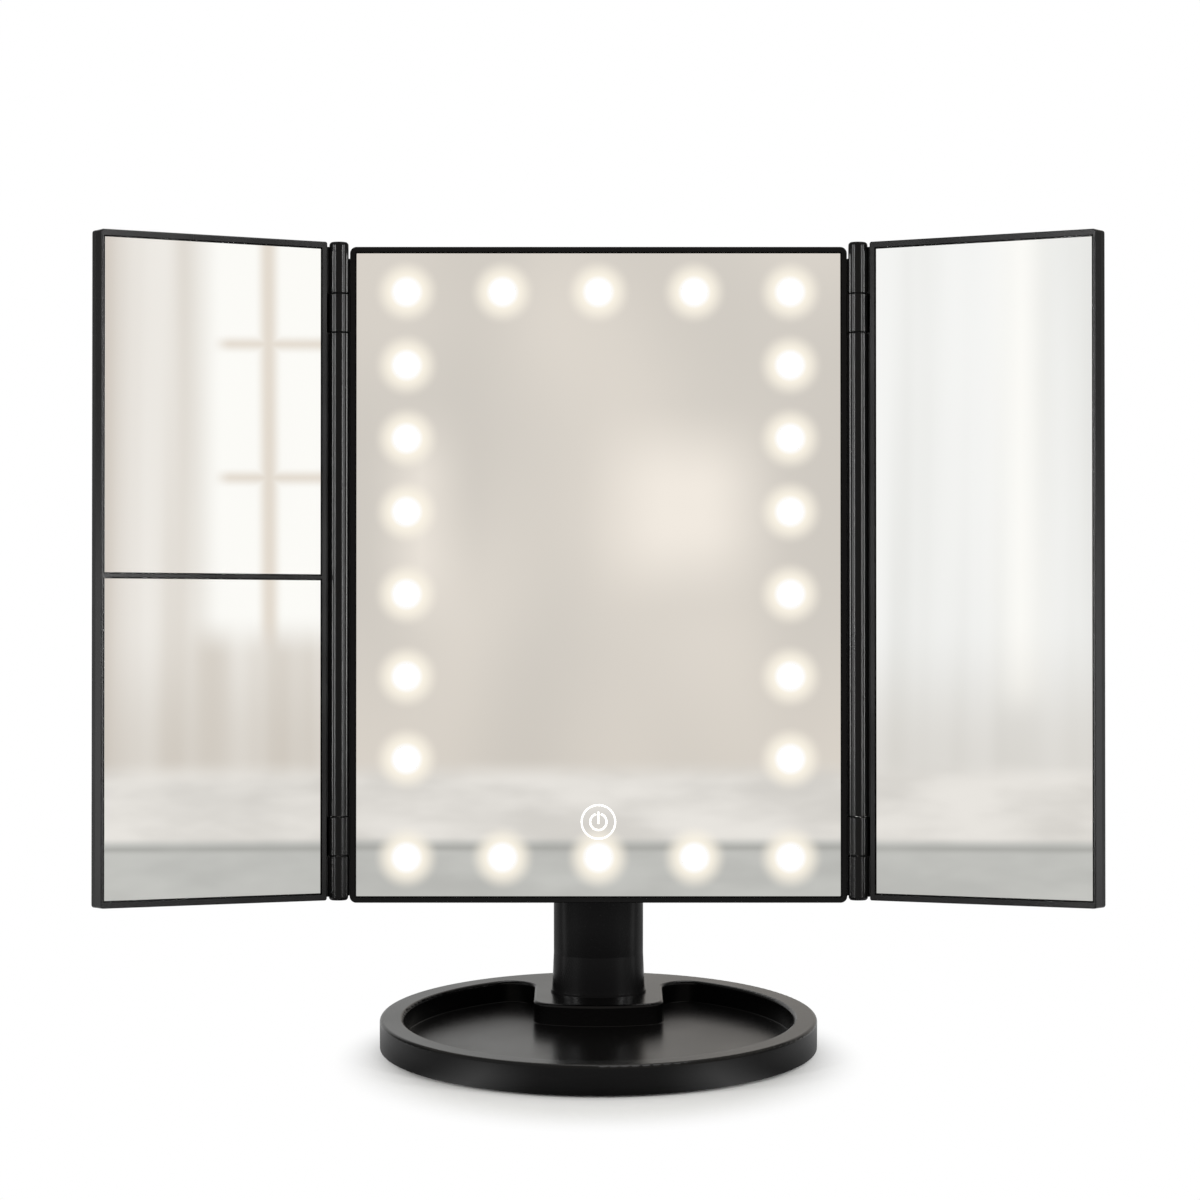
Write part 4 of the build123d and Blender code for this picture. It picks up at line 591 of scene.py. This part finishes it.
def floor_material():
    """Matt and painted grey near the base, a painted shadow over the real shadow it takes, and
    white everywhere else. In the gloss it glows with painted highlights and painted shade.
    """
    material, tree = new_material("floor_white")
    # its grey colour is a painted shadow, on top of the real shadow that it takes
    matt_floor = tree.node("ShaderNodeBsdfPrincipled", {
        "Base Color": PAINTED_SHADOW_COLOUR,
        "Roughness": tree.between(tree.noise(PAPER_SCALE), PAPER_ROUGH),
        "Specular IOR Level": 0.0,
    }).outputs[0]

    def shining(level):
        """White light of this level."""
        return tree.node("ShaderNodeEmission", {"Color": WHITE, "Strength": level}).outputs[0]

    rays = tree.node("ShaderNodeLightPath").outputs
    away = tree.vector_math("LENGTH", tree.place())["Value"]
    # in the gloss the floor glows at painted levels, which the plastics reflect as painted
    # highlights and shade
    painted_glow = shining(painted_floor_glow(tree, away))
    near = tree.mix_shaders(rays["Is Glossy Ray"], matt_floor, painted_glow)
    shifted = tree.vector_math("ADD", tree.place(), SHADOW_SHIFT)["Vector"]
    stretched = tree.vector_math("MULTIPLY", shifted, SHADOW_STRETCH)["Vector"]
    fade = tree.step(tree.vector_math("LENGTH", stretched)["Value"], *SHADOW_FADE)
    share = tree.math("MULTIPLY", rays["Is Camera Ray"], fade)
    whole = tree.mix_shaders(share, near, shining(1.0))
    tree.node("ShaderNodeOutputMaterial", {"Surface": whole})
    return material


def studio_floor():
    """White floor that runs past the edges of the view and takes the shadow, painted grey near the
    base as a painted shadow.
    """
    half = FLOOR_SIDE / 2
    corners = [(-half, -half, 0), (half, -half, 0), (half, half, 0), (-half, half, 0)]
    mesh = bpy.data.meshes.new("floor")
    mesh.from_pydata(corners, [], [(0, 1, 2, 3)])
    mesh.materials.append(floor_material())
    floor = bpy.data.objects.new("floor", mesh)
    bpy.context.scene.collection.objects.link(floor)


def softbox(name, place, aim, size, power):
    """Rectangular lamp that looks at a point."""
    data = bpy.data.lights.new(name, "AREA")
    data.shape = "RECTANGLE"
    data.size, data.size_y = size
    data.energy = power
    lamp = bpy.data.objects.new(name, data)
    lamp.location = place
    lamp.rotation_euler = (Vector(aim) - Vector(place)).to_track_quat("-Z", "Y").to_euler()
    bpy.context.scene.collection.objects.link(lamp)
    return lamp


def studio_lamps(nodes):
    """A broad lamp overhead, and upright strips on each side that leave some pieces out."""
    softbox("lamp_top", **TOP_LAMP)
    left_out = bpy.data.collections.new("off_side_lamps")
    for name in OFF_SIDE_LAMPS:
        left_out.objects.link(nodes[name])
    for entry in left_out.collection_objects:
        entry.light_linking.link_state = "EXCLUDE"
    for number, (azimuth, out, rise, size, power) in enumerate(SIDE_LAMPS):
        for name, side in (("left", -1), ("right", 1)):
            place = (side * out * sin(azimuth), -out * cos(azimuth), rise)
            lamp = softbox(f"lamp_{name}_{number}", place, (0.0, 0.0, rise), size, power)
            lamp.light_linking.receiver_collection = left_out


def photo_camera():
    """Camera where the photograph was taken from."""
    data = bpy.data.cameras.new("photo_camera")
    data.sensor_width = SENSOR
    data.lens = FOCAL_PIXELS / PHOTO_SIDE * SENSOR
    data.shift_x = (PHOTO_SIDE / 2 - CENTRE_PIXEL[0]) / PHOTO_SIDE
    data.shift_y = (CENTRE_PIXEL[1] - PHOTO_SIDE / 2) / PHOTO_SIDE
    camera = bpy.data.objects.new("photo_camera", data)
    camera.location = (0.0, -CAMERA_DISTANCE, CAMERA_HEIGHT)
    camera.rotation_euler = (radians(90.0) - CAMERA_PITCH, 0.0, 0.0)
    bpy.context.scene.collection.objects.link(camera)
    bpy.context.scene.camera = camera


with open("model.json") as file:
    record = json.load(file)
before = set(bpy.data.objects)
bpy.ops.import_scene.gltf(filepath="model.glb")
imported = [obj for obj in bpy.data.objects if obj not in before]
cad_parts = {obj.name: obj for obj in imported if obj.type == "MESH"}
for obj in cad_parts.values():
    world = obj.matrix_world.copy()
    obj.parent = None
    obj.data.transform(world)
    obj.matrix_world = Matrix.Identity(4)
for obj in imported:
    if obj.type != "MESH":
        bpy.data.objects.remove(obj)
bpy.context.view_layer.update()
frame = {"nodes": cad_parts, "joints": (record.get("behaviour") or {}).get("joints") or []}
# the wings' hinges mirror each other, so the right one stands for both
wing_hinge = next(joint for joint in frame["joints"] if joint["name"] == "right_wing_hinge")
finish_nodes(frame["nodes"], wing_hinge)
studio_world()
studio_floor()
studio_lamps(frame["nodes"])
photo_camera()
bpy.context.scene.view_settings.view_transform = "Standard"
